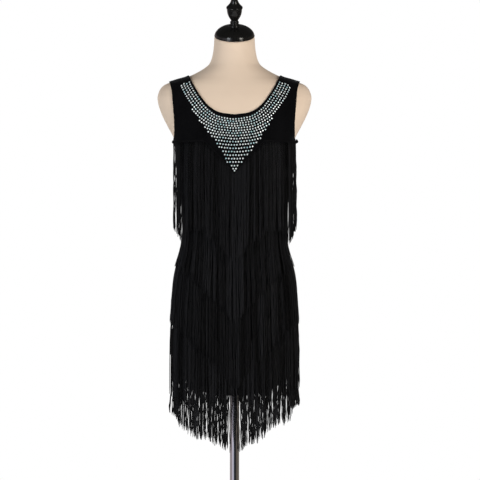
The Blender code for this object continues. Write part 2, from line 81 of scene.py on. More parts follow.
LOCK_THICK = 0.0016  # of a fringe row, strands and tape alike
STRIP_HEIGHT = 0.005
STRIP_OFF_CLOTH = 0.0007  # from the cloth to the header tape
LAYER_STEP = 0.0030  # further out for each lower row that strands hang over
SEAM_MARGIN = 0.0020  # from the side seam to a row's end
LOWEST_TIP = 0.460  # rows are worked out down to this height


def table(names, rows):
    """A table as one array for each named column."""
    return {name: np.array(column) for name, column in zip(names.split(), zip(*rows))}


# The torso, from its flat bottom to the top of the neck. power shapes the oval: 2 is an ellipse.
TORSO_ROWS = [
    (TORSO_BOTTOM, 0.1420, 0.093, 0.099, 2.15),
    (0.745, 0.1445, 0.095, 0.101, 2.15),
    (0.780, 0.1475, 0.099, 0.107, 2.20),
    (0.820, 0.1488, 0.102, 0.111, 2.20),
    (0.860, 0.1480, 0.103, 0.109, 2.20),
    (0.900, 0.1448, 0.101, 0.101, 2.15),
    (0.930, 0.1400, 0.098, 0.091, 2.10),
    (0.960, 0.1310, 0.094, 0.082, 2.10),
    (0.990, 0.1240, 0.092, 0.075, 2.10),
    (1.020, 0.1220, 0.092, 0.073, 2.10),
    (1.060, 0.1240, 0.096, 0.075, 2.10),
    (1.120, 0.1285, 0.107, 0.081, 2.10),
    (1.165, 0.1335, 0.120, 0.087, 2.10),
    (1.190, 0.1385, 0.125, 0.091, 2.10),
    (1.215, 0.1435, 0.124, 0.095, 2.10),
    (1.250, 0.1500, 0.117, 0.097, 2.15),
    (1.281, 0.1655, 0.109, 0.098, 2.20),
    (1.310, 0.1800, 0.101, 0.097, 2.30),
    (1.340, 0.1905, 0.092, 0.094, 2.30),
    (1.355, 0.1925, 0.087, 0.092, 2.30),
    (1.370, 0.1890, 0.081, 0.089, 2.25),
    (1.385, 0.1785, 0.075, 0.086, 2.15),
    (1.397, 0.1515, 0.070, 0.082, 2.05),
    (1.407, 0.1180, 0.066, 0.078, 2.00),
    (1.421, 0.0885, 0.061, 0.071, 2.00),
    (1.430, 0.0740, 0.058, 0.068, 2.00),
    (1.440, 0.0630, 0.055, 0.063, 2.00),
    (1.456, 0.0562, 0.052, 0.058, 2.00),
    (1.478, 0.0522, 0.050, 0.051, 2.00),
    (NECK_TOP, 0.0500, 0.050, 0.044, 2.00),
]
# Below the hips the skirt leaves the torso and hangs straight.
SKIRT_ROWS = [
    (0.600, 0.1545, 0.101, 0.106, 2.20),
    (0.680, 0.1545, 0.103, 0.109, 2.20),
    (0.760, 0.1530, 0.1035, 0.1115, 2.20),
    (0.820, 0.1500, 0.1030, 0.1118, 2.20),
]
SKIRT_TOP = 0.840
MEAN_POWER = 2.15
SECTION_COLUMNS = "z half_width front back power"
TORSO = table(SECTION_COLUMNS, TORSO_ROWS)
DRESS = table(SECTION_COLUMNS, SKIRT_ROWS + [row for row in TORSO_ROWS if row[0] > SKIRT_TOP])

# Edges of the panels from the middle outwards, as x and z.
HEM = [(0.0, 0.615), (0.035, 0.6155), (0.070, 0.6215), (0.102, 0.634), (0.128, 0.660), (0.149, 0.695)]
ARMHOLE = [
    (0.1508, 1.262), (0.1503, 1.280), (0.1510, 1.300), (0.1540, 1.335), (0.1575, 1.370), (0.1620, 1.387),
]
FRONT_NECK = [(0.1005, 1.381), (0.0817, 1.352), (0.0606, 1.3285), (0.0336, 1.3146), (0.0, 1.3102)]
BACK_NECK = [(0.1010, 1.386), (0.0860, 1.368), (0.0640, 1.354), (0.0350, 1.3465), (0.0, 1.344)]

# Profile of the finial as radius and height: foot, ring, urn with a bead, slim neck and round tip.
FINIAL = [
    (0.0000, 0.0000), (0.0150, 0.0000), (0.0146, 0.0014), (0.0122, 0.0038), (0.0106, 0.0062),
    (0.0108, 0.0075), (0.0113, 0.0095), (0.0101, 0.0118), (0.0088, 0.0140), (0.0116, 0.0190),
    (0.0152, 0.0255), (0.0178, 0.0330), (0.0188, 0.0405), (0.0192, 0.0440), (0.0206, 0.0462),
    (0.0205, 0.0482), (0.0178, 0.0515), (0.0130, 0.0570), (0.0098, 0.0630), (0.0084, 0.0690),
    (0.0100, 0.0740), (0.0135, 0.0795), (0.0140, 0.0860), (0.0110, 0.0925), (0.0060, 0.0965),
    (0.0000, 0.0980),
]

# Headers of the fringe rows, top to bottom: heights in the middle and at the side seam, the share
# of the half width where the V ends, how far it bows down (1 is straight), and the strands' length.
ROW_COLUMNS = "centre side corner bow length"
FRONT_ROWS = table(ROW_COLUMNS, [
    (1.1630, 1.2430, 0.50, 1.0, 0.219),
    (1.0150, 1.1550, 1.00, 1.0, 0.219),
    (0.8550, 1.0200, 1.00, 1.0, 0.222),
    (0.6975, 0.9000, 1.00, 1.0, 0.222),
    (0.6775, 0.7725, 1.00, 1.35, 0.201),
])
BACK_ROWS = table(ROW_COLUMNS, [
    (1.1400, 1.2430, 1.00, 1.0, 0.219),
    (0.9950, 1.0900, 1.00, 1.0, 0.219),
    (0.8350, 0.9300, 1.00, 1.0, 0.219),
    (0.6775, 0.7725, 1.00, 1.35, 0.201),
])
FRONT, BACK = -1, 1  # the sign of Y on that half
RIGHT = 0.5 * np.pi  # the side seam's angle from the middle

# ---------------------------------------------------------------- sizes of the finer forms
TORSO_SEGMENTS = 176
TORSO_EDGE = 0.003  # how far its bottom and neck edges are rounded
EDGE_SHARE = 0.3  # where the ring between lies, as a share of that
# Heights of its rings: from, to and how many, closer at the shoulders.
TORSO_RINGS = (
    (TORSO_BOTTOM + TORSO_EDGE, 1.330, 74), (1.336, 1.425, 40), (1.429, NECK_TOP - TORSO_EDGE, 24),
)
CAP_EDGE = 0.0016  # radius of the rim's edge
CAP_INSET = 0.0002  # the dome starts this far inside it
CAP_FULLNESS = 1.22  # 1 is an ellipse, more is slimmer
# Profile of the base as radius and height: foot, rim, sloping top, collar and the socket's wall.
BASE_ROUNDED = 0.005
BASE = [
    (0, 0), (BASE_RADIUS - 0.002, 0), (BASE_RADIUS, 0.002), (BASE_RADIUS, 0.009),
    (BASE_RADIUS - 0.006, 0.014), (0.060, 0.019), (COLLAR_RADIUS + 0.006, 0.024), (COLLAR_RADIUS, 0.031),
    (COLLAR_RADIUS - 0.001, COLLAR_TOP), (POLE_RADIUS + GAP, COLLAR_TOP), (POLE_RADIUS + GAP, SOCKET_FLOOR),
]
POLE_ROUNDED = 0.0006

PANEL_PITCH = 0.0060  # between the points of the cloth where it shows
PANEL_PITCH_COVERED = 0.0100  # and where fringe covers it
COVERED_BELOW = 1.130
EDGE_PITCH = 0.0035
TURNED_EDGE = 0.0070  # width of the turned edge at the neck and the armholes
TURNED_RISE = 0.0005
TURNED_STEP = 0.0012  # width of the step at its end
STITCH_IN, STITCH_WIDTH, STITCH_SHARE = 0.0003, 0.0006, 0.5  # its groove, and depth as a share of the rise
LIP_WIDTH, LIP_SHARE = 0.0009, 0.4  # how far the very edge is rounded off
SEAM_DEPTH = 0.0006
SEAM_WIDTH = 0.0022
EDGE_LINES = (0.0016, 0.0040, 0.0058, 0.0067, 0.0076, 0.0095)  # extra points this far from an edge
LINE_CLEAR = 0.93  # least distance that a point of such a line has, as a share of it
LATTICE_FIRST = 0.004  # its lowest row of points
LATTICE_ROWS = 0.87  # height between its rows, as a share of the pitch
LATTICE_CLEAR = EDGE_LINES[-1] + 0.0022  # from the outline
SOFT_EDGE = 0.0005

CREASE_BOW = 0.06  # how far a crease bows, as a share of its length
CREASE_STARTS = (-0.12, 0.22)  # where along its length it rises and fades
CREASE_FADES = (0.45, 1.12)
# Creases: half, ends as distance round from the middle and height, width, and rise (a trough if under 0).
CREASES = table("half u0 z0 u1 z1 width rise", [
    (FRONT, 0.193, 1.243, 0.118, 1.214, 0.0075, 0.0011),
    (FRONT, 0.192, 1.256, 0.131, 1.247, 0.0060, -0.0007),
    (FRONT, 0.189, 1.271, 0.140, 1.281, 0.0070, 0.0009),
    (FRONT, 0.150, 1.372, 0.116, 1.322, 0.0080, 0.0008),
    (FRONT, 0.128, 1.384, 0.108, 1.347, 0.0060, -0.0005),
    (FRONT, -0.193, 1.246, -0.127, 1.224, 0.0065, 0.0010),
    (FRONT, -0.191, 1.262, -0.121, 1.252, 0.0080, 0.0007),
    (FRONT, -0.188, 1.279, -0.146, 1.294, 0.0060, -0.0006),
    (FRONT, -0.146, 1.366, -0.120, 1.310, 0.0070, 0.0009),
    (FRONT, -0.125, 1.388, -0.104, 1.356, 0.0055, -0.0005),
    (FRONT, -0.060, 1.214, 0.040, 1.208, 0.0090, 0.0006),
    (FRONT, -0.150, 1.030, -0.060, 1.018, 0.0080, 0.0009),
    (FRONT, 0.060, 1.042, 0.160, 1.026, 0.0090, 0.0010),
    (BACK, 0.192, 1.250, 0.122, 1.233, 0.0070, 0.0011),
    (BACK, 0.190, 1.268, 0.139, 1.266, 0.0060, -0.0006),
    (BACK, 0.148, 1.368, 0.112, 1.324, 0.0080, 0.0008),
    (BACK, -0.192, 1.247, -0.131, 1.221, 0.0075, 0.0009),
    (BACK, -0.189, 1.273, -0.130, 1.281, 0.0065, 0.0008),
    (BACK, -0.144, 1.374, -0.117, 1.330, 0.0065, -0.0005),
    (BACK, -0.090, 1.310, 0.030, 1.302, 0.0100, 0.0007),
    (BACK, -0.160, 1.044, -0.040, 1.020, 0.0090, 0.0014),
    (BACK, 0.030, 1.052, 0.170, 1.034, 0.0080, 0.0012),
    (BACK, -0.080, 1.004, 0.090, 0.996, 0.0100, 0.0011),
])

STRAND_RADIUS = 0.00088
STRAND_PITCH = 0.0021  # between strands along a header
STRAND_STATIONS = 18  # rings of points down a strand
FINE_ANGLES = 721  # places that a row's running length is read from
SLEEVE_POINTS, GUIDE_POINTS, TAPE_STATIONS = 120, 60, 180  # down a row, down a strand's line, along a tape
OUT_SEARCH, OUT_HALVINGS = (-0.02, 0.15), 24  # where a strand's place is looked for, outwards
GUIDES = 97  # guides that a row's strands are placed between
STRAND_JITTER = 0.3  # most that a strand is off its even place, as a share of the pitch
THICKNESS = (0.85, 1.15)  # least and most, as a share of the radius
TIP_FROM, TIP_SHARE = 0.985, 0.6  # the end of a strand is this much thinner
LEAST_LIFT = 0.0002  # from a strand's place in its layer, outwards
STRAND_RAGGED = 0.0065  # most that a strand's tip is off its row's line
CLUMP_SIZES = (2, 8)  # strands in a clump that hangs together
CLUMP_PULL = 0.32  # how far they draw together at their tips
CLUMP_PULL_VARIES = 0.30
RAGGED = (-1, 0.1, 1)  # least, likeliest and most, as shares of how ragged the tips are
GATHER_FROM, GATHER_VARIES = 0.10, 0.15  # share of its length from which a clump draws together
SWAY, SWAY_OWN = 0.0028, 0.0007  # to the side at the tips: a clump's, and each strand's own
SWAY_POWER, LIFT_POWER = 1.6, 0.7  # how these grow down a strand
KINK_STARTS, KINK_OUT_STARTS = (0.02, 0.3), (0.05, 0.4)  # shares of its length where its waves set in
KINK, KINK_SHARES, KINK_TURNS = 0.0007, (0.3, 1.0), (1.5, 4.0)  # waves along a strand
KINK_OUT, KINK_OUT_TURNS = 0.6, 1.3  # the same outwards, as shares of those to the side
LIFT, LIFT_VARIES, LIFT_OWN = 0.0006, 0.0007, 0.0003  # outwards: mean, by clump, and each strand's own
SHADE, SHADE_VARIES, SHADE_OWN = 0.42, 0.34, 0.26  # of the yarn, in the same way
# Where strands are sparse: from and to as shares of the half width, and the share that is there.
TOP_THIN = ((-1.0, -0.957, 0.24), (-0.878, -0.815, 0.42), (0.815, 0.878, 0.42), (0.957, 1.0, 0.40))
HEM_THIN = ((-1.0, -0.95, 0.20), (0.978, 1.0, 0.35))
WAIST_DRAW = 0.0075  # most that the second row is drawn in at the waist
WAIST_DRAW_STARTS = (0.950, 0.985)  # heights below the waist where that starts
WAIST_DRAW_FADES = (1.065, 1.120)  # and above it, where it fades
CROOKED_FROM = 0.940  # share of the half width from which strands are more crooked, where rows are sparse
SIDE_KINK = 3.0  # so many times
HEM_PITCH = 0.00152  # between the strands of the last row
HEM_KINK = 1.6  # how much more crooked the hem's other strands are
HEM_PULL = 1.35  # how much more its clumps draw together
HEM_FLARE, HEM_FLARE_FROM = 0.0040, 0.93  # how far the hem's side strands stand out at their tips
HEM_ROOM = 0.0002  # most that they may stand out where the row above hangs over them
HEM_UNDER = 0.75  # share of their length that it hangs over
SIDE_FROM = 0.900  # share of the half width from which this holds
TOP_FLARE, TOP_FLARE_FROM = 0.0024, 0.95  # how far the top row's stand out on the +X side
OVER_POLE = 0.012  # the hem is sparse this far each way from the middle
OVER_POLE_SHARE = 0.55  # share of its strands that is there

# The header tape's section: share of its height, share of its thickness, and share of the flare at
# the top row's ends, where it turns out and opens at the armpits.
TAPE_SECTION = table("up out flare", [
    (0.00, 0.0, 0.0), (0.00, 0.8, 0.2), (0.12, 1.0, 0.5), (0.50, 1.0, 1.0), (0.88, 1.0, 0.5),
    (1.00, 0.8, 0.2), (1.00, 0.0, 0.0), (0.50, 0.0, 0.0),
])
FLARE_ANGLES = (1.40, 1.55)  # from the middle, where the flare sets in and is whole
FLARE_OUT, FLARE_TALLER, FLARE_UP = 0.0058, 0.0034, 0.0025

# How much longer or shorter than their row's the strands are, by where their header is.
TIP_COLUMNS = "x extra"
EVEN_TIPS = table(TIP_COLUMNS, [(-1.0, 0.0), (1.0, 0.0)])
TOP_TIPS = table(TIP_COLUMNS, [
    (-0.152, -0.009), (-0.146, 0.002), (-0.140, 0.007), (-0.134, 0.014), (-0.128, 0.020), (-0.122, 0.010),
    (-0.116, 0.000), (0.116, 0.000), (0.124, 0.012), (0.132, 0.026), (0.139, 0.026), (0.143, 0.016),
    (0.149, 0.002), (0.152, -0.011),
])
OVER_HEM_TIPS = table(TIP_COLUMNS, [
    (-0.150, 0.062), (-0.112, 0.055), (-0.090, 0.000), (-0.060, -0.045), (0.000, -0.125), (0.060, -0.045),
    (0.090, 0.000), (0.112, 0.022), (0.140, 0.045),
])
HEM_TIPS = table(TIP_COLUMNS, [
    (-0.142, 0.000), (-0.135, 0.014), (-0.096, 0.014), (-0.080, 0.008), (-0.073, -0.002),
    (-0.024, -0.002), (-0.020, 0.000), (0.020, 0.000), (0.026, -0.004), (0.072, -0.004), (0.078, -0.011),
    (0.117, -0.011), (0.122, 0.000), (0.137, 0.000), (0.143, -0.021),
])


# ---------------------------------------------------------------- the shared surface
def read(tab, column, z):
    """A column at any height, on a smooth curve that never swings past its rows."""
    knots, values = tab["z"], tab[column]
    z = np.clip(z, knots[0], knots[-1])
    rise = np.diff(values) / np.diff(knots)
    slope = np.concatenate([rise[:1], np.zeros(len(rise) - 1), rise[-1:]])
    same_way = rise[:-1] * rise[1:] > 0
    pairs = np.where(same_way, rise[:-1] + rise[1:], 1.0)
    slope[1:-1] = np.where(same_way, 2 * rise[:-1] * rise[1:] / pairs, 0.0)
    i = np.clip(np.searchsorted(knots, z, side="right") - 1, 0, len(rise) - 1)
    step = knots[i + 1] - knots[i]
    t = (z - knots[i]) / step
    ends = (1 + 2 * t) * (1 - t) ** 2 * values[i] + t * t * (3 - 2 * t) * values[i + 1]
    return ends + step * t * (1 - t) * ((1 - t) * slope[i] - t * slope[i + 1])


def section(tab, half, z):
    """Half width, depth and power of the oval at height z, on the front or the back half."""
    depth = read(tab, "front" if half == FRONT else "back", z)
    return read(tab, "half_width", z), depth, read(tab, "power", z)


def surface_and_normal(tab, half, angle, z):
    """Points at an angle from the middle of that half, and the surface's normals there."""
    angle, z = np.broadcast_arrays(angle, z)
    width, depth, power = section(tab, half, z)
    share_x = np.abs(np.sin(angle)) ** (2 / power)
    share_y = np.maximum(np.cos(angle), 0) ** (2 / power)
    sign = np.sign(np.sin(angle))
    above, below = section(tab, half, z + SMALL_STEP), section(tab, half, z - SMALL_STEP)
    width_slope = (above[0] - below[0]) / (2 * SMALL_STEP)
    depth_slope = (above[1] - below[1]) / (2 * SMALL_STEP)
    normal = np.stack(
        [
            sign * share_x ** (power - 1) / width,
            half * share_y ** (power - 1) / depth,
            -(share_x**power) * width_slope / width - share_y**power * depth_slope / depth,
        ],
        axis=-1,
    )
    normal /= np.linalg.norm(normal, axis=-1, keepdims=True)
    return np.stack([sign * width * share_x, half * depth * share_y, z], axis=-1), normal


def surface(tab, half, angle, z, off):
    points, normal = surface_and_normal(tab, half, angle, z)
    return points + normal * np.broadcast_to(off, points.shape[:-1])[..., None]


def angle_at(tab, x, z):
    """The angle of the surface point that is x from the middle at height z."""
    share = np.clip(np.abs(x) / (read(tab, "half_width", z) + OUTSIDE), 0, 1)
    return np.arcsin(share ** (read(tab, "power", z) / 2)) * np.where(x < 0, -1, 1)


def smooth_step(x, low, high):
    t = np.clip((x - low) / (high - low), 0, 1)
    return t * t * (3 - 2 * t)


# ---------------------------------------------------------------- mesh helpers
def new_object(name, points, faces, finishes, face_finish=None, smooth=True):
    mesh = bpy.data.meshes.new(name)
    mesh.from_pydata(np.asarray(points).tolist(), [], [list(map(int, face)) for face in faces])
    mesh.validate()
    for finish in finishes:
        mesh.materials.append(finish)
    if face_finish is not None:
        mesh.polygons.foreach_set("material_index", np.asarray(face_finish, np.int32))
    if smooth:
        mesh.shade_smooth()
    obj = bpy.data.objects.new(name, mesh)
    bpy.context.scene.collection.objects.link(obj)
    return obj


def set_shade(obj, values):
    """What the materials read as each point's own shade."""
    layer = obj.data.attributes.new("shade", "FLOAT", "POINT")
    layer.data.foreach_set("value", np.array(values, np.float32))


def as_piece(obj, slot, *nodes):
    """The object rides on the part in place of these CAD nodes. Its slot is not used."""
    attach(obj, ROOT)
    if nodes:
        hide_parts(*nodes)
    return obj


def sharpen(obj, angle):
    obj.data.set_sharp_from_angle(angle=math.radians(angle))
    return obj


def running_length(points):
    return np.concatenate([[0], np.cumsum(np.linalg.norm(np.diff(points, axis=0), axis=1))])


def curve_through(points, count=200):
    """Close points on a smooth curve through these."""
    points = np.array(points)
    run = running_length(points)
    along = {"z": run, "x": points[:, 0], "y": points[:, 1]}
    at = np.linspace(0, run[-1], count)
    return np.stack([read(along, "x", at), read(along, "y", at)], axis=1)


def evenly(points, spacing):
    """Points this far apart along a line of close points."""
    run = running_length(points)
    at = np.linspace(0, run[-1], max(2, round(run[-1] / spacing) + 1))
    return np.stack([np.interp(at, run, points[:, 0]), np.interp(at, run, points[:, 1])], axis=1)


def turns(count):
    """Even angles all round."""
    return math.tau * np.arange(count) / count


def around(count):
    """Each place in a closed ring with the next one."""
    return [(i, (i + 1) % count) for i in range(count)]


def between(low, high, count):
    """Faces between two rings of points that start at these places."""
    return [(low + a, low + b, high + b, high + a) for a, b in around(count)]


def turned(name, profile, segments, finish):
    """A profile of radius and height, turned about Z. Its first and last points lie on the axis."""
    profile = np.asarray(profile, float)
    turn = turns(segments)
    radius, height = profile[1:-1, :1], np.repeat(profile[1:-1, 1:], segments, axis=1)
    rings = np.stack([radius * np.cos(turn), radius * np.sin(turn), height], axis=2).reshape(-1, 3)
    points = np.concatenate([[(0, 0, profile[0, 1])], rings, [(0, 0, profile[-1, 1])]])
    last = len(points) - 1
    faces = [(0, 1 + b, 1 + a) for a, b in around(segments)]
    for low in range(1, last - segments, segments):
        faces += between(low, low + segments, segments)
    faces += [(last, last - segments + a, last - segments + b) for a, b in around(segments)]
    return new_object(name, points, faces, [finish])


def rounded(profile, radius, steps=4):
    """A profile with each of its inner corners rounded by short arcs, as a curve."""
    out = [np.array(profile[0], float)]
    for before, corner, after in zip(profile, profile[1:], profile[2:]):
        before, corner, after = (np.array(p, float) for p in (before, corner, after))
        to_before, to_after = before - corner, after - corner
        reach = min(radius, 0.45 * np.linalg.norm(to_before), 0.45 * np.linalg.norm(to_after))
        start = corner + to_before / np.linalg.norm(to_before) * reach
        end = corner + to_after / np.linalg.norm(to_after) * reach
        for t in np.linspace(0, 1, steps + 1):
            out.append((1 - t) ** 2 * start + 2 * t * (1 - t) * corner + t * t * end)
    out.append(np.array(profile[-1], float))
    return out


# ---------------------------------------------------------------- materials
class Nodes:
    """The nodes of a material or of the world, with short ways to add to them."""

    def __init__(self, owner):
        owner.use_nodes = True
        self.owner, self.tree = owner, owner.node_tree

    def change(self, node, **settings):
        """Sets the inputs and the properties of these names."""
        for key, value in settings.items():
            label = key.replace("_", " ")
            if label in node.inputs:
                node.inputs[label].default_value = value
            else:
                setattr(node, key, value)
        return node

    def link(self, source, target):
        self.tree.links.new(source, target)

    def add(self, kind, *sources, **settings):
        """A new node. Its first inputs are these sockets or values."""
        node = self.change(self.tree.nodes.new(kind), **settings)
        for target, source in zip(node.inputs, sources):
            if isinstance(source, bpy.types.NodeSocket):
                self.link(source, target)
            else:
                target.default_value = source
        return node

    def maths(self, operation, *sources):
        return self.add("ShaderNodeMath", *sources, operation=operation).outputs[0]

    def ranged(self, fac, **settings):
        return self.add("ShaderNodeMapRange", fac, **settings).outputs["Result"]

    def mixed(self, fac, first, second):
        return self.add("ShaderNodeMixShader", fac, first, second).outputs["Shader"]

    def ramp(self, fac, *stops):
        """A colour that goes through these stops of place and colour as fac rises."""
        ramp = self.add("ShaderNodeValToRGB", fac)
        elements = ramp.color_ramp.elements
        while len(elements) < len(stops):
            elements.new(0.5)
        for element, (place, colour) in zip(elements, stops):
            element.position = place
            element.color = (*colour, 1)
        return ramp.outputs["Color"]


class Finish(Nodes):
    """A material whose looks follow noise in the part's own frame."""

    def __init__(self, name, **settings):
        super().__init__(bpy.data.materials.new(name))
        self.shader = self.change(self.tree.nodes["Principled BSDF"], **settings)

    def feed(self, output, socket):
        self.link(output, self.shader.inputs[socket])

    def position(self):
        return self.add("ShaderNodeTexCoord").outputs["Object"]

    def noise(self, scale, detail=2.0, stretch=(1, 1, 1)):
        placed = self.add("ShaderNodeMapping", self.position(), Scale=stretch).outputs["Vector"]
        return self.add("ShaderNodeTexNoise", placed, Scale=scale, Detail=detail).outputs["Fac"]

    def ribs(self, direction, **settings):
        wave = self.add("ShaderNodeTexWave", self.position(), bands_direction=direction, **settings)
        return wave.outputs["Fac"]

    def shade(self):
        """What each strand or stone has of its own, from 0 to 1."""
        return self.add("ShaderNodeAttribute", attribute_name="shade").outputs["Fac"]

    def colour(self, fac, low, high, start=0.0, end=1.0):
        """Base colour from low to high as fac goes from start to end."""
        self.feed(self.ramp(fac, (start, low), (end, high)), "Base Color")

    def roughness(self, fac, low, high):
        self.feed(self.ranged(fac, To_Min=low, To_Max=high), "Roughness")

    def bump(self, height, distance, strength):
        node = self.add("ShaderNodeBump", Strength=strength, Distance=distance)
        self.link(height, node.inputs["Height"])
        self.feed(node.outputs["Normal"], "Normal")


def skin_finish():
    """Smooth beige cover of the form, with a fine grain and faint handling marks."""
    n = Finish("form_skin", Specular_IOR_Level=0.35)
    n.colour(n.noise(7, 3), (0.760, 0.600, 0.462), (0.815, 0.655, 0.510), 0.3, 0.7)
    n.roughness(n.noise(18, 4), 0.55, 0.70)
    n.bump(n.maths("MULTIPLY_ADD", n.noise(900), 0.35, n.noise(60)), 0.0004, 0.25)
    return n.owner


def gloss_finish():
    """Glossy black lacquer, with a slight orange peel."""
    n = Finish("black_gloss", Specular_IOR_Level=0.35, Coat_Weight=0.2, Coat_Roughness=0.04)
    n.colour(n.noise(40, 3), (0.0045, 0.0044, 0.0041), (0.0090, 0.0086, 0.0080))
    n.roughness(n.noise(90, 3), 0.10, 0.20)
    n.bump(n.noise(260, 1), 0.0003, 0.06)
    return n.owner


def chrome_finish():
    """Drawn and plated tube: bright, with faint lines along it and a few dull patches."""
    n = Finish("chrome", Metallic=1.0)
    n.colour(n.noise(30, 3), (0.60, 0.60, 0.61), (0.70, 0.70, 0.71))
    n.roughness(n.noise(25, 4, (1, 1, 0.15)), 0.04, 0.12)
    n.bump(n.noise(1400, 1, (1, 1, 0.02)), 0.0001, 0.12)
    return n.owner


def enamel_finish():
    """Black stoved enamel with a fine texture."""
    n = Finish("black_enamel")
    n.colour(n.noise(20, 3), (0.010, 0.010, 0.010), (0.017, 0.017, 0.017))
    n.roughness(n.noise(35, 4), 0.32, 0.46)
    n.bump(n.noise(1100), 0.0003, 0.2)
    return n.owner


def velvet_finish():
    """Deep black stretch velvet: its short nap lies unevenly, and catches light only at a glance."""
    n = Finish("black_velvet", Roughness=0.95, Specular_IOR_Level=0.08)
    n.change(n.shader, Sheen_Weight=0.10, Sheen_Roughness=0.35, Sheen_Tint=(0.55, 0.57, 0.62, 1))
    nap = n.maths("MULTIPLY_ADD", n.noise(26, 3, (1, 1, 0.5)), 0.5, n.noise(420))
    n.colour(nap, (0.0008, 0.0008, 0.0011), (0.0034, 0.0034, 0.0040), 0.45, 1.05)
    n.bump(n.maths("MULTIPLY_ADD", n.noise(2600), 0.6, n.noise(300)), 0.0004, 0.5)
    return n.owner


def strand_finish():
    """Black chainette yarn: loops of a soft twist, each strand a little lighter or darker."""
    n = Finish("black_fringe", Roughness=0.50, Specular_IOR_Level=0.17)
    n.change(n.shader, Sheen_Weight=0.035, Sheen_Roughness=0.4)
    n.colour(n.shade(), (0.0, 0.0, 0.0002), (0.0115, 0.0118, 0.0138), 0.15, 0.95)
    n.bump(n.ribs("Z", Scale=150.0, Distortion=1.5, Detail=1.0), 0.0003, 0.6)
    return n.owner


def tape_finish():
    """Woven black header tape, ribbed along its length."""
    n = Finish("black_tape", Roughness=0.85, Specular_IOR_Level=0.08)
    n.colour(n.noise(500), (0.0018, 0.0018, 0.0022), (0.0048, 0.0048, 0.0054))
    n.bump(n.ribs("DIAGONAL", Scale=260.0, Distortion=2.0), 0.0003, 0.5)
    return n.owner


def stone_finish():
    """Foil-backed crystal: silvery white, with a faint aqua or green fire that differs by stone."""
    n = Finish("rhinestone", Metallic=0.18, Roughness=0.16, Specular_IOR_Level=0.9)
    n.change(n.shader, Coat_Weight=1.0, Coat_Roughness=0.06)
    aqua, pale = (0.0, (0.44, 0.70, 0.74)), (0.22, (0.66, 0.84, 0.87))
    white, bright = (0.5, (0.88, 0.95, 0.95)), (1.0, (0.94, 0.99, 0.99))
    n.feed(n.ramp(n.shade(), aqua, pale, white, bright), "Base Color")
    return n.owner


# ---------------------------------------------------------------- form and stand
def build_torso(finish):
    """The torso's smooth shell, with the pole's bore in its bottom and a rounded neck edge."""
    turn = turns(TORSO_SEGMENTS)
    in_front = np.cos(turn) >= 0
    angle = np.where(in_front, turn, np.pi - turn)

    def circle(z):
        radius = POLE_RADIUS + GAP
        return np.stack([radius * np.sin(turn), -radius * np.cos(turn), np.full(len(turn), z)], axis=1)

    def oval(z, inset=0.0):
        front, back = (surface(TORSO, half, angle, z, -inset) for half in (FRONT, BACK))
        ring = np.where(in_front[:, None], front, back)
        ring[:, 2] = z
        share = np.clip((z - NECK_TILT_FROM) / (NECK_TOP - NECK_TILT_FROM), 0, 1)
        lean = share * share * (1.7 - 0.7 * share)  # eases into the neck's tilt
        ring[:, 2] += lean * ring[:, 1] * math.tan(NECK_TILT)
        return ring

    part = EDGE_SHARE * TORSO_EDGE
    heights = np.concatenate([np.linspace(*span) for span in TORSO_RINGS])
    rings = [circle(TORSO_BOTTOM + POLE_IN_TORSO), circle(TORSO_BOTTOM)]
    rings += [oval(TORSO_BOTTOM, TORSO_EDGE), oval(TORSO_BOTTOM + part, part)]
    rings += [oval(z) for z in heights]
    rings += [oval(NECK_TOP - part, part), oval(NECK_TOP, TORSO_EDGE)]
    points = np.concatenate(rings)
    last = len(points) - TORSO_SEGMENTS
    faces = [list(range(TORSO_SEGMENTS)), list(range(last, len(points)))]
    for low in range(0, last, TORSO_SEGMENTS):
        faces += between(low, low + TORSO_SEGMENTS, TORSO_SEGMENTS)
    torso = new_object("form_shell", points, faces, [finish])
    as_piece(sharpen(torso, 50), "form_skin", "form_torso")


def lean_on_neck(obj, height):
    """Puts a turned piece on the neck's sloping top, this far above it."""
    top = Vector((0, NECK_CENTRE_Y, NECK_TOP + NECK_CENTRE_Y * math.tan(NECK_TILT)))
    lean = Matrix.Rotation(NECK_TILT, 4, "X")
    obj.data.transform(Matrix.Translation(top + lean @ Vector((0, 0, height))) @ lean)


def build_cap_and_finial(finish):
    inner, top = CAP_RADIUS - CAP_EDGE, CAP_RIM + CAP_DOME
    profile = [(0, 0)]
    for turn in np.linspace(-0.5 * np.pi, 0.25 * np.pi, 8):
        profile.append((inner + CAP_EDGE * math.cos(turn), CAP_EDGE + CAP_EDGE * math.sin(turn)))
    rim, low = profile[-1]
    for turn in np.linspace(0, RIGHT, 44)[1:]:
        radius = CAP_SEAT + (rim - CAP_INSET - CAP_SEAT) * math.cos(turn)
        profile.append((radius, low + (top - low) * math.sin(turn) ** CAP_FULLNESS))
    cap = turned("cap_dome", [*profile, (0, top)], 128, finish)
    lean_on_neck(cap, GAP)
    as_piece(sharpen(cap, 55), "black_gloss", "neck_cap")
    knob = turned("finial_knob", [FINIAL[0], *curve_through(FINIAL[1:-1], 130), FINIAL[-1]], 96, finish)
    lean_on_neck(knob, top + 2 * GAP)
    as_piece(sharpen(knob, 55), "black_gloss", "finial")


def build_stand(chrome, enamel):
    """The base and the pole. The socket's floor corner is left sharp, so that the pole's foot clears it."""
    base = turned("base_disc", [*rounded(BASE, BASE_ROUNDED), (0, SOCKET_FLOOR)], 160, enamel)
    as_piece(sharpen(base, 45), "black_enamel", "stand_base")
    foot, top = SOCKET_FLOOR + GAP, TORSO_BOTTOM + POLE_IN_TORSO - GAP
    profile = [(0, foot), (POLE_RADIUS, foot), (POLE_RADIUS, top), (0, top)]
    pole = turned("pole_tube", rounded(profile, POLE_ROUNDED), 96, chrome)
    as_piece(sharpen(pole, 60), "chrome", "pole")


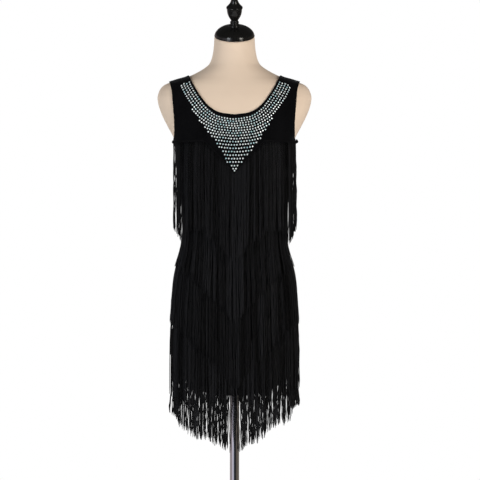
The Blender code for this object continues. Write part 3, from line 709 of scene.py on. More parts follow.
# ---------------------------------------------------------------- dress panels
class Flat:
    """The dress surface laid out flat: u goes round it from the middle, v up along its side."""

    WIDTH_PER_RADIAN = 0.125

    def __init__(self):
        self.z = np.linspace(HEM[0][1] - 0.01, 1.42, 1200)  # from under the hem to over the shoulders
        steps = np.hypot(np.diff(self.z), np.diff(read(DRESS, "half_width", self.z)))
        self.v = np.concatenate([[0], np.cumsum(steps)])

    def place(self, angle, z):
        return np.stack([angle * self.WIDTH_PER_RADIAN, np.interp(z, self.z, self.v)], axis=-1)

    def back(self, uv):
        return uv[:, 0] / self.WIDTH_PER_RADIAN, np.interp(uv[:, 1], self.v, self.z)


FLAT = Flat()


def half_outline(neck):
    """One half of a panel's outline from the hem's middle to the neckline's, and which parts are seams."""

    def seam_line(low, high):
        ends = FLAT.place(np.array([RIGHT, RIGHT]), np.array([low, high]))
        count = max(2, round(abs(ends[1, 1] - ends[0, 1]) / EDGE_PITCH) + 1)
        return np.linspace(ends[0], ends[1], count)

    def edge_line(start, middle, end):
        line = curve_through([p for p in (start, *middle, end) if p is not None])
        angle = angle_at(DRESS, line[:, 0], line[:, 1])
        if start is not None:
            angle[0] = RIGHT
        if end is not None:
            angle[-1] = RIGHT
        return evenly(FLAT.place(angle, line[:, 1]), EDGE_PITCH)

    def on_side(z):
        return (float(read(DRESS, "half_width", z) + OUTSIDE), z)

    pieces = [
        edge_line(None, HEM, on_side(HEM_SIDE)),
        seam_line(HEM_SIDE, ARMPIT),
        edge_line(on_side(ARMPIT), ARMHOLE, on_side(SHOULDER_OUTER)),
        seam_line(SHOULDER_OUTER, SHOULDER_INNER),
        edge_line(on_side(SHOULDER_INNER), neck, None),
    ]
    points = np.concatenate([pieces[0]] + [piece[1:] for piece in pieces[1:]])
    is_seam = np.concatenate([np.full(len(piece) - 1, k in (1, 3)) for k, piece in enumerate(pieces)])
    return points, is_seam


def inside(outline, points):
    """Which points lie in the closed outline."""
    a, b = outline, np.roll(outline, -1, axis=0)
    x, y = points[:, None, 0], points[:, None, 1]
    crosses = (a[:, 1] > y) != (b[:, 1] > y)
    rise = np.where(b[:, 1] == a[:, 1], 1.0, b[:, 1] - a[:, 1])
    at = a[:, 0] + (y - a[:, 1]) * (b[:, 0] - a[:, 0]) / rise
    return (crosses & (x < at)).sum(axis=1) % 2 == 1


def distance_to(a, b, points):
    """Least distance from each point to the segments from a to b."""
    side = b - a
    length = np.maximum((side * side).sum(axis=1), 1e-12)
    nearest = np.full(len(points), np.inf)
    for chunk in np.array_split(np.arange(len(points)), max(1, len(points) // 400)):
        p = points[chunk, None]
        t = np.clip(((p - a) * side).sum(axis=2) / length, 0, 1)
        nearest[chunk] = np.linalg.norm(p - (a + t[..., None] * side), axis=2).min(axis=1)
    return nearest


def to_outline(outline, points):
    return distance_to(outline, np.roll(outline, -1, axis=0), points)


def lattice(outline):
    """Staggered points inside the outline, clear of it, finer where the cloth shows."""
    reach = RIGHT * FLAT.WIDTH_PER_RADIAN
    found = []
    v, odd = LATTICE_FIRST, 0
    while v < FLAT.v[-1]:
        covered = np.interp(v, FLAT.v, FLAT.z) < COVERED_BELOW
        pitch = PANEL_PITCH_COVERED if covered else PANEL_PITCH
        columns = np.arange(-math.ceil(reach / pitch), math.ceil(reach / pitch) + 1)
        line = np.array([(column * pitch + odd * pitch / 2, v) for column in columns])
        found.append(line[inside(outline, line)])
        v, odd = v + pitch * LATTICE_ROWS, 1 - odd
    found = np.concatenate(found)
    return found[to_outline(outline, found) > LATTICE_CLEAR]


def inset_lines(outline):
    """Points in lines along the outline, at each of the edge lines' distances."""
    along = np.roll(outline, -1, axis=0) - np.roll(outline, 1, axis=0)
    inward = np.stack([-along[:, 1], along[:, 0]], axis=1)
    inward /= np.linalg.norm(inward, axis=1, keepdims=True)
    found = []
    for distance in EDGE_LINES:
        line = outline + inward * distance
        line = line[inside(outline, line)]
        found.append(line[to_outline(outline, line) > LINE_CLEAR * distance])
    return np.concatenate(found)


def crease_rise(half, u, z):
    """How far the creases lift or sink the cloth at these places."""
    total = np.zeros(np.shape(u))
    for on_half, u0, z0, u1, z1, width, rise in zip(*CREASES.values()):
        if on_half != half:
            continue
        du, dz = u1 - u0, z1 - z0
        length = math.hypot(du, dz)
        t = ((u - u0) * du + (z - z0) * dz) / length**2
        off = ((u - u0) * dz - (z - z0) * du) / length
        bow = off - CREASE_BOW * length * np.sin(np.pi * np.clip(t, 0, 1))
        fade = smooth_step(t, *CREASE_STARTS) * (1 - smooth_step(t, *CREASE_FADES))
        total = total + rise * fade * np.exp(-((bow / width) ** 2))
    return total


def panel_relief(half, free_edges, seams, uv, z):
    """Rise of the cloth's outside over its plain form: creases, turned edges and sunk seams."""
    relief = crease_rise(half, uv[:, 0], z)
    to_edge = distance_to(*free_edges, uv)
    relief += TURNED_RISE * (1 - smooth_step(to_edge, TURNED_EDGE, TURNED_EDGE + TURNED_STEP))
    stitch = (to_edge - TURNED_EDGE + STITCH_IN) / STITCH_WIDTH
    relief -= STITCH_SHARE * TURNED_RISE * np.exp(-(stitch**2))
    relief -= LIP_SHARE * TURNED_RISE * np.exp(-((to_edge / LIP_WIDTH) ** 2))
    to_seam = distance_to(*seams, uv)
    relief -= SEAM_DEPTH * np.exp(-((to_seam / SEAM_WIDTH) ** 2))
    return relief


def panel_edges(neck):
    """A panel's closed outline laid out flat, with its free edges and its seams."""
    right, right_seam = half_outline(neck)
    outline = np.concatenate([right, right[-2:0:-1] * (-1, 1)])
    is_seam = np.concatenate([right_seam, right_seam[::-1]])
    ahead = np.roll(outline, -1, axis=0)
    return outline, (outline[~is_seam], ahead[~is_seam]), (outline[is_seam], ahead[is_seam])


def most_rise(half, neck, angle, z, reach):
    """The most that a panel's outside rises over its plain form within this reach of each place."""
    _, free_edges, seams = panel_edges(neck)
    middle = FLAT.place(angle, z)
    places = [middle] + [middle + (reach * math.cos(t), reach * math.sin(t)) for t in turns(8)]
    return np.max([panel_relief(half, free_edges, seams, uv, FLAT.back(uv)[1]) for uv in places], axis=0)


def build_panel(name, node, half, neck, finish, flat_size, flat_area, strands):
    """A panel of velvet over one half of the torso, as a thin closed shell."""
    outline, free_edges, seams = panel_edges(neck)
    places = np.concatenate([outline, inset_lines(outline), lattice(outline)])
    found = delaunay_2d_cdt([Vector(p) for p in places], around(len(outline)), [], 1, 1e-7)
    uv = np.array([tuple(p) for p in found[0]])
    angle, z = FLAT.back(uv)
    relief = panel_relief(half, free_edges, seams, uv, z)
    outer = surface(DRESS, half, angle, z, OUTSIDE + relief)
    inner = surface(DRESS, half, angle, z, EASE)
    points = np.concatenate([outer, inner])
    points[:, 1] += half * GAP / 2
    below = len(outer)
    faces = [tuple(face) for face in found[2]]
    faces += [tuple(below + i for i in reversed(face)) for face in found[2]]
    edges = {}
    for face in found[2]:
        for a, b in zip(face, face[1:] + face[:1]):
            key = frozenset((a, b))
            edges[key] = None if key in edges else (a, b)
    faces += [(b, a, below + a, below + b) for a, b in filter(None, edges.values())]
    if half == BACK:
        faces = [tuple(reversed(face)) for face in faces]
    panel = new_object(name, points, faces, [finish])
    bevel = panel.modifiers.new("soft_edge", "BEVEL")
    bevel.width = SOFT_EDGE
    bevel.segments = 2
    bevel.limit_method = "ANGLE"
    bevel.angle_limit = math.radians(60)
    as_piece(panel, "black_velvet", node)


# ---------------------------------------------------------------- stones on the chest
STONE_RADIUS = 0.00202
STONE_HEIGHT = 0.00150
STONE_SIDES = 8
STONE_CLEAR = 0.0004  # from the cloth to a stone's foot
STONE_PITCH = 0.0070  # between stones along a row
STONES_END = 1.3955  # height on the neckline where the rows end on the strap
FIRST_ROW = 0.0075  # from the neckline to the first row, on the strap
STRAP_PITCH = 0.0071  # between the rows there
STONE_JITTER = 0.00022  # how far a stone is off its place
STONE_TILT = 0.05  # how far its axis leans, at random
# Along the neckline, where the rows change from their middle pitch to their strap pitch.
MIDDLE_REACH = (0.010, 0.100)
# Rows of stones: height in the middle, and how far the row is shifted along, as a share of the pitch.
STONE_ROWS = table("middle shift", [
    (1.2980, 0.50), (1.2925, 0.62), (1.2870, 0.05), (1.2810, 0.12), (1.2752, 0.52), (1.2688, 0.60),
    (1.2626, 0.08), (1.2560, 0.48), (1.2490, 0.90), (1.2412, 0.42), (1.2334, 0.95), (1.2252, 0.50),
    (1.2168, 0.02), (1.2083, 0.55), (1.1998, 0.00), (1.1915, 0.50), (1.1831, 0.03), (1.1760, 0.50),
    (1.1703, 0.00),
])
# Where the rows end: the edge of the V, as x and z. It was laid a little fuller on the +X side.
STONES_EDGE = table("x z", [
    (-0.1400, 1.4000), (-0.1375, 1.3770), (-0.1190, 1.3465), (-0.1025, 1.3205), (-0.0875, 1.2933),
    (-0.0750, 1.2800), (-0.0550, 1.2560), (-0.0340, 1.2235), (-0.0190, 1.1945), (-0.0045, 1.1745),
    (-0.0010, 1.1675), (0.0025, 1.1745), (0.0168, 1.1925), (0.0295, 1.2085), (0.0468, 1.2268),
    (0.0655, 1.2520), (0.0795, 1.2750), (0.0910, 1.2962), (0.1110, 1.3285), (0.1300, 1.3600),
    (0.1400, 1.3757), (0.1425, 1.4000),
])
EDGE_SLACK = 0.0015  # a stone's middle is at most this far below that edge


def stone_row(row):
    """A row that follows the neckline, as points of x and z from the middle to the strap."""
    shoulder = (float(read(DRESS, "half_width", SHOULDER_INNER)), SHOULDER_INNER)
    line = curve_through([*FRONT_NECK[::-1], shoulder], 160)
    on_neckline = line[:, 1]
    along = np.gradient(line, axis=0)
    outward = np.stack([along[:, 1], -along[:, 0]], axis=1)
    outward /= np.linalg.norm(outward, axis=1, keepdims=True)
    share = smooth_step(running_length(line), *MIDDLE_REACH)
    middle = line[0, 1] - STONE_ROWS["middle"][row]
    side = FIRST_ROW + STRAP_PITCH * row
    line = line + outward * (middle + (side - middle) * share)[:, None]
    line[0, 0] = 0.0
    return line[on_neckline < STONES_END]


def on_chest(line):
    """Surface points and normals of the front panel's outside, for points of x and z."""
    angle = angle_at(DRESS, line[:, 0], line[:, 1])
    points, normal = surface_and_normal(DRESS, FRONT, angle, line[:, 1])
    return points + normal * OUTSIDE, normal


def stone_places(line, shift):
    """Even places along one row inside the V, this share of the pitch off from the middle."""
    line = np.concatenate([line[:0:-1] * (-1, 1), line])
    points, _ = on_chest(line)
    run = running_length(points)
    most = run[-1] / STONE_PITCH
    at = np.arange((most / 2 + shift) % 1, most) * STONE_PITCH
    x, z = np.interp(at, run, line[:, 0]), np.interp(at, run, line[:, 1])
    held = z > np.interp(x, STONES_EDGE["x"], STONES_EDGE["z"]) - EDGE_SLACK
    return np.stack([x, z], axis=1)[held]


def stone_mesh():
    """One cut stone: girdle, crown facets and table, as points and faces."""
    rings = ((1.00, 0.10), (1.00, 0.34), (0.82, 0.84), (0.50, 1.00))
    points = [(0, 0, 0.0)]
    for k, (radius, height) in enumerate(rings):
        turn = math.tau * (np.arange(STONE_SIDES) + 0.5 * (k == 2)) / STONE_SIDES
        across = radius * STONE_RADIUS
        points += [(across * math.cos(t), across * math.sin(t), height * STONE_HEIGHT) for t in turn]
    faces = []
    a, b, c, d = (1 + k * STONE_SIDES for k in range(4))
    for i, j in around(STONE_SIDES):
        faces += [(0, a + j, a + i), (a + i, a + j, b + j, b + i), (b + i, b + j, c + i)]
        faces += [(b + j, c + j, c + i), (c + i, c + j, d + j), (c + i, d + j, d + i)]
    faces.append(tuple(d + i for i in range(STONE_SIDES)))
    return np.array(points), faces


def build_stones(finish):
    """All the chest's stones as one joined mesh."""
    rng = np.random.default_rng(STONE_SEED)
    rows = range(len(STONE_ROWS["middle"]))
    places = np.concatenate([stone_places(stone_row(row), STONE_ROWS["shift"][row]) for row in rows])
    places += rng.normal(0, STONE_JITTER, places.shape)
    centre, normal = on_chest(places)
    angle = angle_at(DRESS, places[:, 0], places[:, 1])
    rise = most_rise(FRONT, FRONT_NECK, angle, places[:, 1], STONE_RADIUS)
    centre += normal * (rise + STONE_CLEAR)[:, None]
    one_points, one_faces = stone_mesh()
    points, faces, shade = [], [], []
    for k in range(len(centre)):
        out = Vector(normal[k] + rng.normal(0, STONE_TILT, 3)).normalized()
        turn = out.to_track_quat("Z", "Y").to_matrix() @ Matrix.Rotation(rng.uniform(0, math.tau), 3, "Z")
        placed = one_points @ np.array(turn).T + centre[k]
        faces += [tuple(len(points) * len(one_points) + i for i in face) for face in one_faces]
        points.append(placed)
        shade += [rng.uniform()] * len(one_points)
    stones = new_object("chest_stones", np.concatenate(points), faces, [finish], smooth=False)
    set_shade(stones, shade)
    return as_piece(stones, "rhinestone")


# ---------------------------------------------------------------- fringe
def header_height(rows, row, reach):
    """Height of a row's header where the surface is this share of its half width from the middle."""
    rise = np.minimum(np.abs(reach) / rows["corner"][row], 1) ** rows["bow"][row]
    return rows["centre"][row] + (rows["side"][row] - rows["centre"][row]) * rise


def layer_off(rows, row, reach, z):
    """How far a row's strands stand off the cloth: a step more for each lower header they pass."""
    total = np.full(np.shape(z), STRIP_OFF_CLOTH)
    for lower in range(row + 1, len(rows["centre"])):
        start = header_height(rows, lower - 1, reach)
        end = header_height(rows, lower, reach)
        total = total + LAYER_STEP * np.clip((start - z) / (start - end), 0, 1)
    return total


def hang(radius, drawn_in=0.0):
    """What strands do down this outline: they hang plumb, and lean on whatever comes further out."""
    return np.maximum(radius, np.maximum.accumulate(radius) - drawn_in)


def waist_draw(z, row):
    """How far the second row's strands are drawn in to the waist at the sides."""
    if row != 1:
        return np.zeros(len(z))
    return WAIST_DRAW * (1 - smooth_step(z, *WAIST_DRAW_FADES)) * smooth_step(z, *WAIST_DRAW_STARTS)


def out_to_oval(start, way, width, depth, power):
    """How far from start along way the ovals of these sizes lie."""
    low, high = (np.full(len(width), end) for end in OUT_SEARCH)
    for _ in range(OUT_HALVINGS):
        middle = (low + high) / 2
        x = np.abs(start[0] + way[0] * middle) / width
        y = np.abs(start[1] + way[1] * middle) / depth
        outside = x**power + y**power > 1
        low, high = np.where(outside, low, middle), np.where(outside, middle, high)
    return (low + high) / 2


def sleeve(rows, row, half, reach, extra):
    """Heights from the header down, with the half width and depth that this row's strands hang at."""
    top = float(header_height(rows, row, reach))
    z = np.linspace(top, LOWEST_TIP, SLEEVE_POINTS)
    width, depth, _ = section(DRESS, half, z)
    off = OUTSIDE + layer_off(rows, row, reach, z) + LOCK_THICK / 2
    width, depth = width + off, depth + off
    if row + 1 < len(rows["centre"]):
        lower_z, lower_width, lower_depth = sleeve(rows, row + 1, half, reach, extra)
        under = LAYER_STEP * np.where(z <= lower_z[0], 1, -100)  # nothing to lean on above its header
        width = np.maximum(width, np.interp(-z, -lower_z, lower_width) + under)
        depth = np.maximum(depth, np.interp(-z, -lower_z, lower_depth) + under)
    held = z >= top - rows["length"][row] - extra
    width[held] = hang(width[held], waist_draw(z[held], row))
    depth[held] = hang(depth[held])
    return z, width, depth


def guide(rows, row, half, angle, length):
    """A strand's line from the header down, its outward way, and its way across."""
    reach = reach_of(angle)
    heights, widths, depths = sleeve(rows, row, half, reach, length - rows["length"][row])
    z = np.linspace(heights[0], heights[0] - length, GUIDE_POINTS)
    width, depth = np.interp(-z, -heights, widths), np.interp(-z, -heights, depths)
    power = section(DRESS, half, z)[2]
    share_x, share_y = abs(math.sin(angle)) ** (2 / power[0]), math.cos(angle) ** (2 / power[0])
    sign = math.copysign(1, angle)
    start = np.array([sign * width[0] * share_x, half * depth[0] * share_y])
    steep_x, steep_y = share_x ** (power[0] - 1), share_y ** (power[0] - 1)
    way = np.array([sign * steep_x / width[0], half * steep_y / depth[0]])
    way /= np.linalg.norm(way)
    out = out_to_oval(start, way, width, depth, power)
    line = np.concatenate([start + way * out[:, None], z[:, None]], axis=1)
    return line, way, np.array([-way[1], way[0]])


def clumped(rng, count):
    """For each strand: its clump's middle among the strands, and random numbers that the clump shares."""
    middle, shared = np.zeros(count), np.zeros((count, 4))
    first = 0
    while first < count:
        size = int(rng.integers(*CLUMP_SIZES))
        members = slice(first, min(count, first + size))
        middle[members] = (first + min(count, first + size) - 1) / 2
        shared[members] = rng.uniform(-1, 1, 4)
        first += size
    return middle, shared


def cloth_under(half, angles, z):
    """How far a crease lifts what lies on the cloth here."""
    return np.maximum(crease_rise(half, angles * FLAT.WIDTH_PER_RADIAN, z), 0)


def reach_of(angles):
    """How far round these are, as a share of the half width."""
    return np.abs(np.sin(angles)) ** (2 / MEAN_POWER)


def across_share(angles):
    """The same, and under 0 on the -X side."""
    return np.sign(angles) * reach_of(angles)


def kept(rng, angles, sparse, share):
    """The angles without most of the sparse ones."""
    return angles[~sparse | (rng.uniform(size=len(angles)) < share)]


def from_last(rows, row):
    return len(rows["centre"]) - 1 - row


def tips_of(rows, row):
    """The table for the strands' tips of this row."""
    if from_last(rows, row) == 0:
        return HEM_TIPS
    if from_last(rows, row) == 1 and rows is FRONT_ROWS:
        return OVER_HEM_TIPS
    return TOP_TIPS if row == 0 else EVEN_TIPS


def strand_angles(rng, rows, row, half, pitch):
    """Where round the row its strands hang, without most of those where it is sparse."""
    mean_height = float(rows["centre"][row] + rows["side"][row]) / 2
    fine = np.linspace(-RIGHT, RIGHT, FINE_ANGLES)
    run = running_length(surface(DRESS, half, fine, mean_height, OUTSIDE)[:, :2])
    count = int((run[-1] - 2 * SEAM_MARGIN) / pitch)
    jitter = rng.uniform(-STRAND_JITTER, STRAND_JITTER, count)
    at = SEAM_MARGIN + (np.arange(count) + 0.5 + jitter) * pitch
    angles = np.interp(at, run, fine)
    for first, last, held in TOP_THIN if row == 0 else HEM_THIN if from_last(rows, row) < 2 else ():
        across = across_share(angles)
        angles = kept(rng, angles, (across > first) & (across < last), held)
    if from_last(rows, row) == 0:
        middle_x = np.sin(angles) * read(DRESS, "half_width", mean_height)
        angles = kept(rng, angles, np.abs(middle_x) < OVER_POLE, OVER_POLE_SHARE)
    return angles


def guides(rows, row, half, angles, length):
    """The guide of each strand, between those of an even grid."""
    grid = np.linspace(angles[0], angles[-1], GUIDES)
    place = np.interp(angles, grid, np.arange(len(grid)))
    low = np.clip(place.astype(int), 0, len(grid) - 2)
    found = []
    for values in zip(*(guide(rows, row, half, angle, length) for angle in grid)):
        values = np.array(values)
        part = (place - low).reshape(-1, *[1] * (values.ndim - 1))
        found.append(values[low] * (1 - part) + values[low + 1] * part)
    return found


def yarn(centre, way, across, radius):
    """Square strands round these middle lines, as points and faces."""
    count = len(centre)
    corners = []
    for to_way, to_across in ((1, 0), (0, 1), (-1, 0), (0, -1)):
        corner = centre.copy()
        corner[..., :2] += (way * to_way + across * to_across)[:, None] * radius[..., None]
        corners.append(corner)
    points = np.stack(corners, axis=2).reshape(-1, 3)
    ring = 4 * (np.arange(count)[:, None] * STRAND_STATIONS + np.arange(STRAND_STATIONS)[None])
    top, under = ring[:, :-1].reshape(-1), ring[:, 1:].reshape(-1)
    sides = [np.stack([top + a, under + a, under + b, top + b], axis=1) for a, b in around(4)]
    ends = [ring[:, 0, None] + np.arange(4), ring[:, -1, None] + np.arange(3, -1, -1)]
    return points, np.concatenate(sides + ends)


def build_fringe_row(name, node, rows, row, half, finishes):
    """One length of chainette fringe: its header tape, and each strand of yarn that hangs from it."""
    rng = np.random.default_rng((FRINGE_SEED, row, half + 1))
    is_last = from_last(rows, row) == 0
    pitch = HEM_PITCH if is_last else STRAND_PITCH
    hem_kink = HEM_KINK if is_last else 1.0
    tips = tips_of(rows, row)
    most = rows["length"][row] + STRAND_RAGGED + tips["extra"].max()
    angles = strand_angles(rng, rows, row, half, pitch)
    from_middle = across_share(angles)
    count = len(angles)
    line, way, across = guides(rows, row, half, angles, most)

    length = rows["length"][row] + rng.triangular(*RAGGED, count) * STRAND_RAGGED
    length = length + np.interp(line[:, 0, 0], tips["x"], tips["extra"])
    share = np.linspace(0, 1, STRAND_STATIONS)
    along = share[None] * length[:, None] / most * (line.shape[1] - 1)
    lower = np.clip(along.astype(int), 0, line.shape[1] - 2)
    step = (along - lower)[..., None]
    strand = np.arange(count)[:, None]
    centre = line[strand, lower] * (1 - step) + line[strand, lower + 1] * step

    middle, shared = clumped(rng, count)
    pull = (middle - np.arange(count)) * pitch * (CLUMP_PULL + CLUMP_PULL_VARIES * shared[:, 0])
    pull *= HEM_PULL if is_last else 1.0
    gather = smooth_step(share[None], GATHER_FROM + GATHER_VARIES * (1 + shared[:, 1:2]), 1.0)
    crooked = np.full(count, hem_kink)
    if row == 0 or from_last(rows, row) < 2:
        crooked[np.abs(from_middle) > CROOKED_FROM] = SIDE_KINK
    sway = SWAY * shared[:, 2] + rng.normal(0, SWAY_OWN, count) * crooked
    kink = (rng.uniform(*KINK_SHARES, count) * KINK * crooked)[:, None]
    turn = rng.uniform(*KINK_TURNS, count)[:, None] * hem_kink
    phase = rng.uniform(0, math.tau, (2, count, 1))
    side = pull[:, None] * gather + sway[:, None] * share[None] ** SWAY_POWER
    side += kink * np.sin(math.tau * turn * share + phase[0]) * smooth_step(share, *KINK_STARTS)
    lift = LIFT + LIFT_VARIES * shared[:, 3] + rng.normal(0, LIFT_OWN, count)
    lift = lift[:, None] * share[None] ** LIFT_POWER
    wave = np.sin(math.tau * KINK_OUT_TURNS * turn * share + phase[1])
    lift += KINK_OUT * kink * wave * smooth_step(share, *KINK_OUT_STARTS)
    if is_last:
        flare = HEM_FLARE * smooth_step(np.abs(from_middle), HEM_FLARE_FROM, 1.0)
        lift += flare[:, None] * share[None] ** 2
        room = HEM_ROOM + 2 * HEM_FLARE * smooth_step(share, HEM_UNDER, 1.0)
        at_side = (np.abs(from_middle) > SIDE_FROM)[:, None]
        lift = np.where(at_side, np.minimum(lift, room), lift)
    if row == 0:
        lift += (TOP_FLARE * smooth_step(from_middle, TOP_FLARE_FROM, 1.0))[:, None] * share[None] ** 0.5
    lift = np.maximum(lift, LEAST_LIFT) + cloth_under(half, angles[:, None], centre[..., 2])
    centre[..., :2] += across[:, None] * side[..., None] + way[:, None] * lift[..., None]

    radius = STRAND_RADIUS * rng.uniform(*THICKNESS, count)[:, None]
    radius = radius * np.where(share > TIP_FROM, TIP_SHARE, 1.0)
    points, faces = yarn(centre, way, across, radius)
    strand_shade = np.clip(SHADE + SHADE_VARIES * shared[:, 3] + rng.normal(0, SHADE_OWN, count), 0, 1)
    tape_points, tape_faces = header_tape(rows, row, half, angles[0], angles[-1])
    faces = np.concatenate([faces, tape_faces + len(points)])
    face_finish = np.zeros(len(faces), np.int32)
    face_finish[-len(tape_faces):] = 1
    fringe = new_object(name, np.concatenate([points, tape_points]), faces, finishes, face_finish)
    set_shade(fringe, [*np.repeat(strand_shade, 4 * STRAND_STATIONS), *np.full(len(tape_points), 0.5)])
    return as_piece(fringe, "black_fringe", node)


def header_tape(rows, row, half, first, last):
    """The woven tape that a row hangs from, as one closed band."""
    stations = np.linspace(first, last, TAPE_STATIONS)
    height = header_height(rows, row, reach_of(stations))
    flared = smooth_step(np.abs(stations), *FLARE_ANGLES) * (row == 0)
    rings = []
    for up, out, flare in zip(*TAPE_SECTION.values()):
        z = height + STRIP_HEIGHT * up + (FLARE_UP + FLARE_TALLER * (2 * up - 1)) * flared
        off = OUTSIDE + STRIP_OFF_CLOTH + LOCK_THICK * out + FLARE_OUT * flare * flared
        off = off + cloth_under(half, stations, z)
        rings.append(surface(DRESS, half, stations, z, off))
    points = np.stack(rings, axis=1).reshape(-1, 3)
    size = len(rings)
    a = size * np.arange(len(stations) - 1)
    faces = []
    for k, follow in around(size):
        faces.append(np.stack([a + k, a + follow, a + size + follow, a + size + k], axis=1))
    end = size * (len(stations) - 1)
    for k in range(1, size - 1, 2):
        faces.append([(0, k + 2, k + 1, k), (end, end + k, end + k + 1, end + k + 2)])
    return points, np.concatenate(faces)


# ---------------------------------------------------------------- stage
VIEW_HEIGHT = 1.2  # what the picture takes in at the pole's axis
VIEW_DISTANCE = 10.0
VIEW_CENTRE = Vector((0.01375, 0.0, 1.0))
FLOOR_RADIUS, FLOOR_SIDES, FLOOR_LEVEL = 1.6, 128, -0.0005
FLOOR_FADES = (0.30, FLOOR_RADIUS * 0.95)  # from the middle, where it starts and ends
LEVEL_FADES = (0.15, 0.45)  # height of a ray's way, where the studio's level band starts and ends to fade
# What shows in reflections all round, by degrees from the camera's side: pale walls and a dark gobo.
GOBOS = (
    (-180, (0.40, 0.35, 0.36)), (-75, (0.36, 0.31, 0.32)), (-62, (0.68, 0.62, 0.72)),
    (-24, (0.62, 0.63, 0.74)), (-10, (0.03, 0.035, 0.05)), (32, (0.02, 0.02, 0.02)),
    (48, (0.13, 0.11, 0.09)), (180, (0.25, 0.22, 0.19)),
)
SOFT_WHITE = (0.97, 0.98, 1.0)
WARM, COOL, PLAIN = (1.0, 0.95, 0.88), (0.90, 0.95, 1.0), (1.0, 0.98, 0.95)
SOFTBOX = (0.9, 1.3)
# Softboxes: name, place, what they point at, watts, colour, and what sees them.
LIGHTS = (
    ("key", (1.9, -2.6, 1.15), (0, 0, 1.15), 58, WARM, "matt"),
    ("fill", (-2.6, -1.9, 1.15), (0, 0, 1.1), 37, COOL, "matt"),
    ("key_shine", (1.9, -2.6, 2.2), (0, 0, 1.4), 32, WARM, "gloss"),
    ("fill_shine", (-1.7, -2.7, 2.2), (0, 0, 1.4), 22, COOL, "gloss"),
    ("back_key", (-1.6, 2.6, 2.2), (0, 0, 1.1), 22, PLAIN, "matt"),
    ("back_fill", (1.9, 2.4, 1.6), (0, 0, 1.0), 16, COOL, "matt"),
)


def build_camera():
    data = bpy.data.cameras.new("camera")
    data.sensor_width = 36
    data.lens = data.sensor_width * VIEW_DISTANCE / VIEW_HEIGHT
    data.clip_end = 100
    camera = bpy.data.objects.new("camera", data)
    camera.location = VIEW_CENTRE + Vector((0, -VIEW_DISTANCE, 0))
    camera.rotation_euler = (math.radians(90), 0, 0)
    bpy.context.scene.collection.objects.link(camera)
    bpy.context.scene.camera = camera


def area_light(name, location, target, power, colour, seen_by):
    """A softbox seen by matt surfaces alone, or as a highlight in glossy ones alone."""
    data = bpy.data.lights.new(name, "AREA")
    data.shape = "RECTANGLE"
    data.size, data.size_y = SOFTBOX
    data.energy = power
    data.color = colour
    light = bpy.data.objects.new(name, data)
    light.location = location
    light.visible_glossy = seen_by == "gloss"
    light.visible_diffuse = seen_by == "matt"
    light.rotation_euler = (Vector(target) - Vector(location)).to_track_quat("-Z", "Y").to_euler()
    bpy.context.scene.collection.objects.link(light)


def build_floor():
    """A pale disc that fades into the white round it."""
    n = Finish("pale_floor", Roughness=0.9, Base_Color=(0.86, 0.86, 0.86, 1))
    length = n.add("ShaderNodeVectorMath", n.position(), operation="LENGTH").outputs["Value"]
    near, far = FLOOR_FADES
    fade = n.ranged(length, interpolation_type="SMOOTHSTEP", From_Min=near, From_Max=far)
    seen = n.maths("MULTIPLY", fade, n.add("ShaderNodeLightPath").outputs["Is Camera Ray"])
    white = n.add("ShaderNodeEmission", (1, 1, 1, 1), 1.0).outputs["Emission"]
    output = next(node for node in n.tree.nodes if node.type == "OUTPUT_MATERIAL")
    n.link(n.mixed(seen, n.shader.outputs["BSDF"], white), output.inputs["Surface"])
    turn = turns(FLOOR_SIDES)
    level = np.full(FLOOR_SIDES, FLOOR_LEVEL)
    points = np.stack([FLOOR_RADIUS * np.cos(turn), FLOOR_RADIUS * np.sin(turn), level], axis=1)
    new_object("floor", points, [tuple(range(FLOOR_SIDES))], [n.owner])


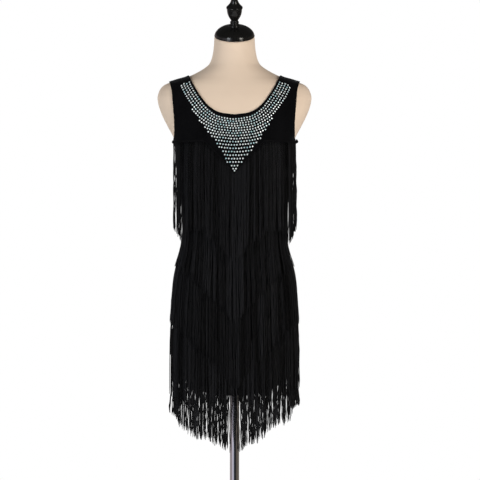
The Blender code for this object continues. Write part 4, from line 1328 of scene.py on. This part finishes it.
def build_world():
    """White studio: bright all round for the eye and soft light, with dark gobos for reflections."""
    world = bpy.data.worlds.new("studio")
    bpy.context.scene.world = world
    n = Nodes(world)
    n.tree.nodes.clear()

    def background(colour, strength):
        return n.add("ShaderNodeBackground", colour, strength).outputs[0]

    def white(strength):
        return background((*SOFT_WHITE, 1), strength)

    where = n.add("ShaderNodeTexCoord").outputs["Generated"]
    split = n.add("ShaderNodeSeparateXYZ", where).outputs
    azimuth = n.maths("ARCTAN2", split["X"], n.maths("MULTIPLY", split["Y"], -1))
    turn = n.ranged(azimuth, From_Min=-math.pi, From_Max=math.pi)
    bands = n.ramp(turn, *(((degrees + 180) / 360, colour) for degrees, colour in GOBOS))
    low, high = LEVEL_FADES
    height = n.maths("ABSOLUTE", split["Z"])
    off_level = n.ranged(height, interpolation_type="SMOOTHSTEP", From_Min=low, From_Max=high)
    rays = n.add("ShaderNodeLightPath").outputs
    reflected = n.mixed(off_level, background(bands, 1.0), background((0.05, 0.05, 0.05, 1), 1.0))
    soft = n.mixed(off_level, white(0.80), white(0.12))
    unseen = n.mixed(rays["Is Glossy Ray"], soft, reflected)
    n.add("ShaderNodeOutputWorld", n.mixed(rays["Is Camera Ray"], unseen, background((1, 1, 1, 1), 1.0)))


def build_stage():
    bpy.context.scene.view_settings.view_transform = "Standard"
    build_camera()
    build_world()
    build_floor()
    for light in LIGHTS:
        area_light(*light)


# ---------------------------------------------------------------- the whole
def build():
    build_stage()
    build_torso(skin_finish())
    build_cap_and_finial(gloss_finish())
    build_stand(chrome_finish(), enamel_finish())
    finishes = [strand_finish(), tape_finish()]
    velvet = velvet_finish()
    fringes = {FRONT: [], BACK: []}
    for half, side, rows in ((FRONT, "front", FRONT_ROWS), (BACK, "back", BACK_ROWS)):
        for row in range(len(rows["centre"])):
            name, node = f"{side}_strands_{row + 1}", f"{side}_fringe_{row + 1}"
            fringes[half].append(build_fringe_row(name, node, rows, row, half, finishes))
    on_front = [*fringes[FRONT], build_stones(stone_finish())]
    front = ("front_velvet", "front_panel", FRONT, FRONT_NECK, velvet)
    build_panel(*front, flat_size=(0.420, 0.800), flat_area=0.281, strands=on_front)
    back = ("back_velvet", "back_panel", BACK, BACK_NECK, velvet)
    build_panel(*back, flat_size=(0.420, 0.790), flat_area=0.277, strands=fringes[BACK])


build()
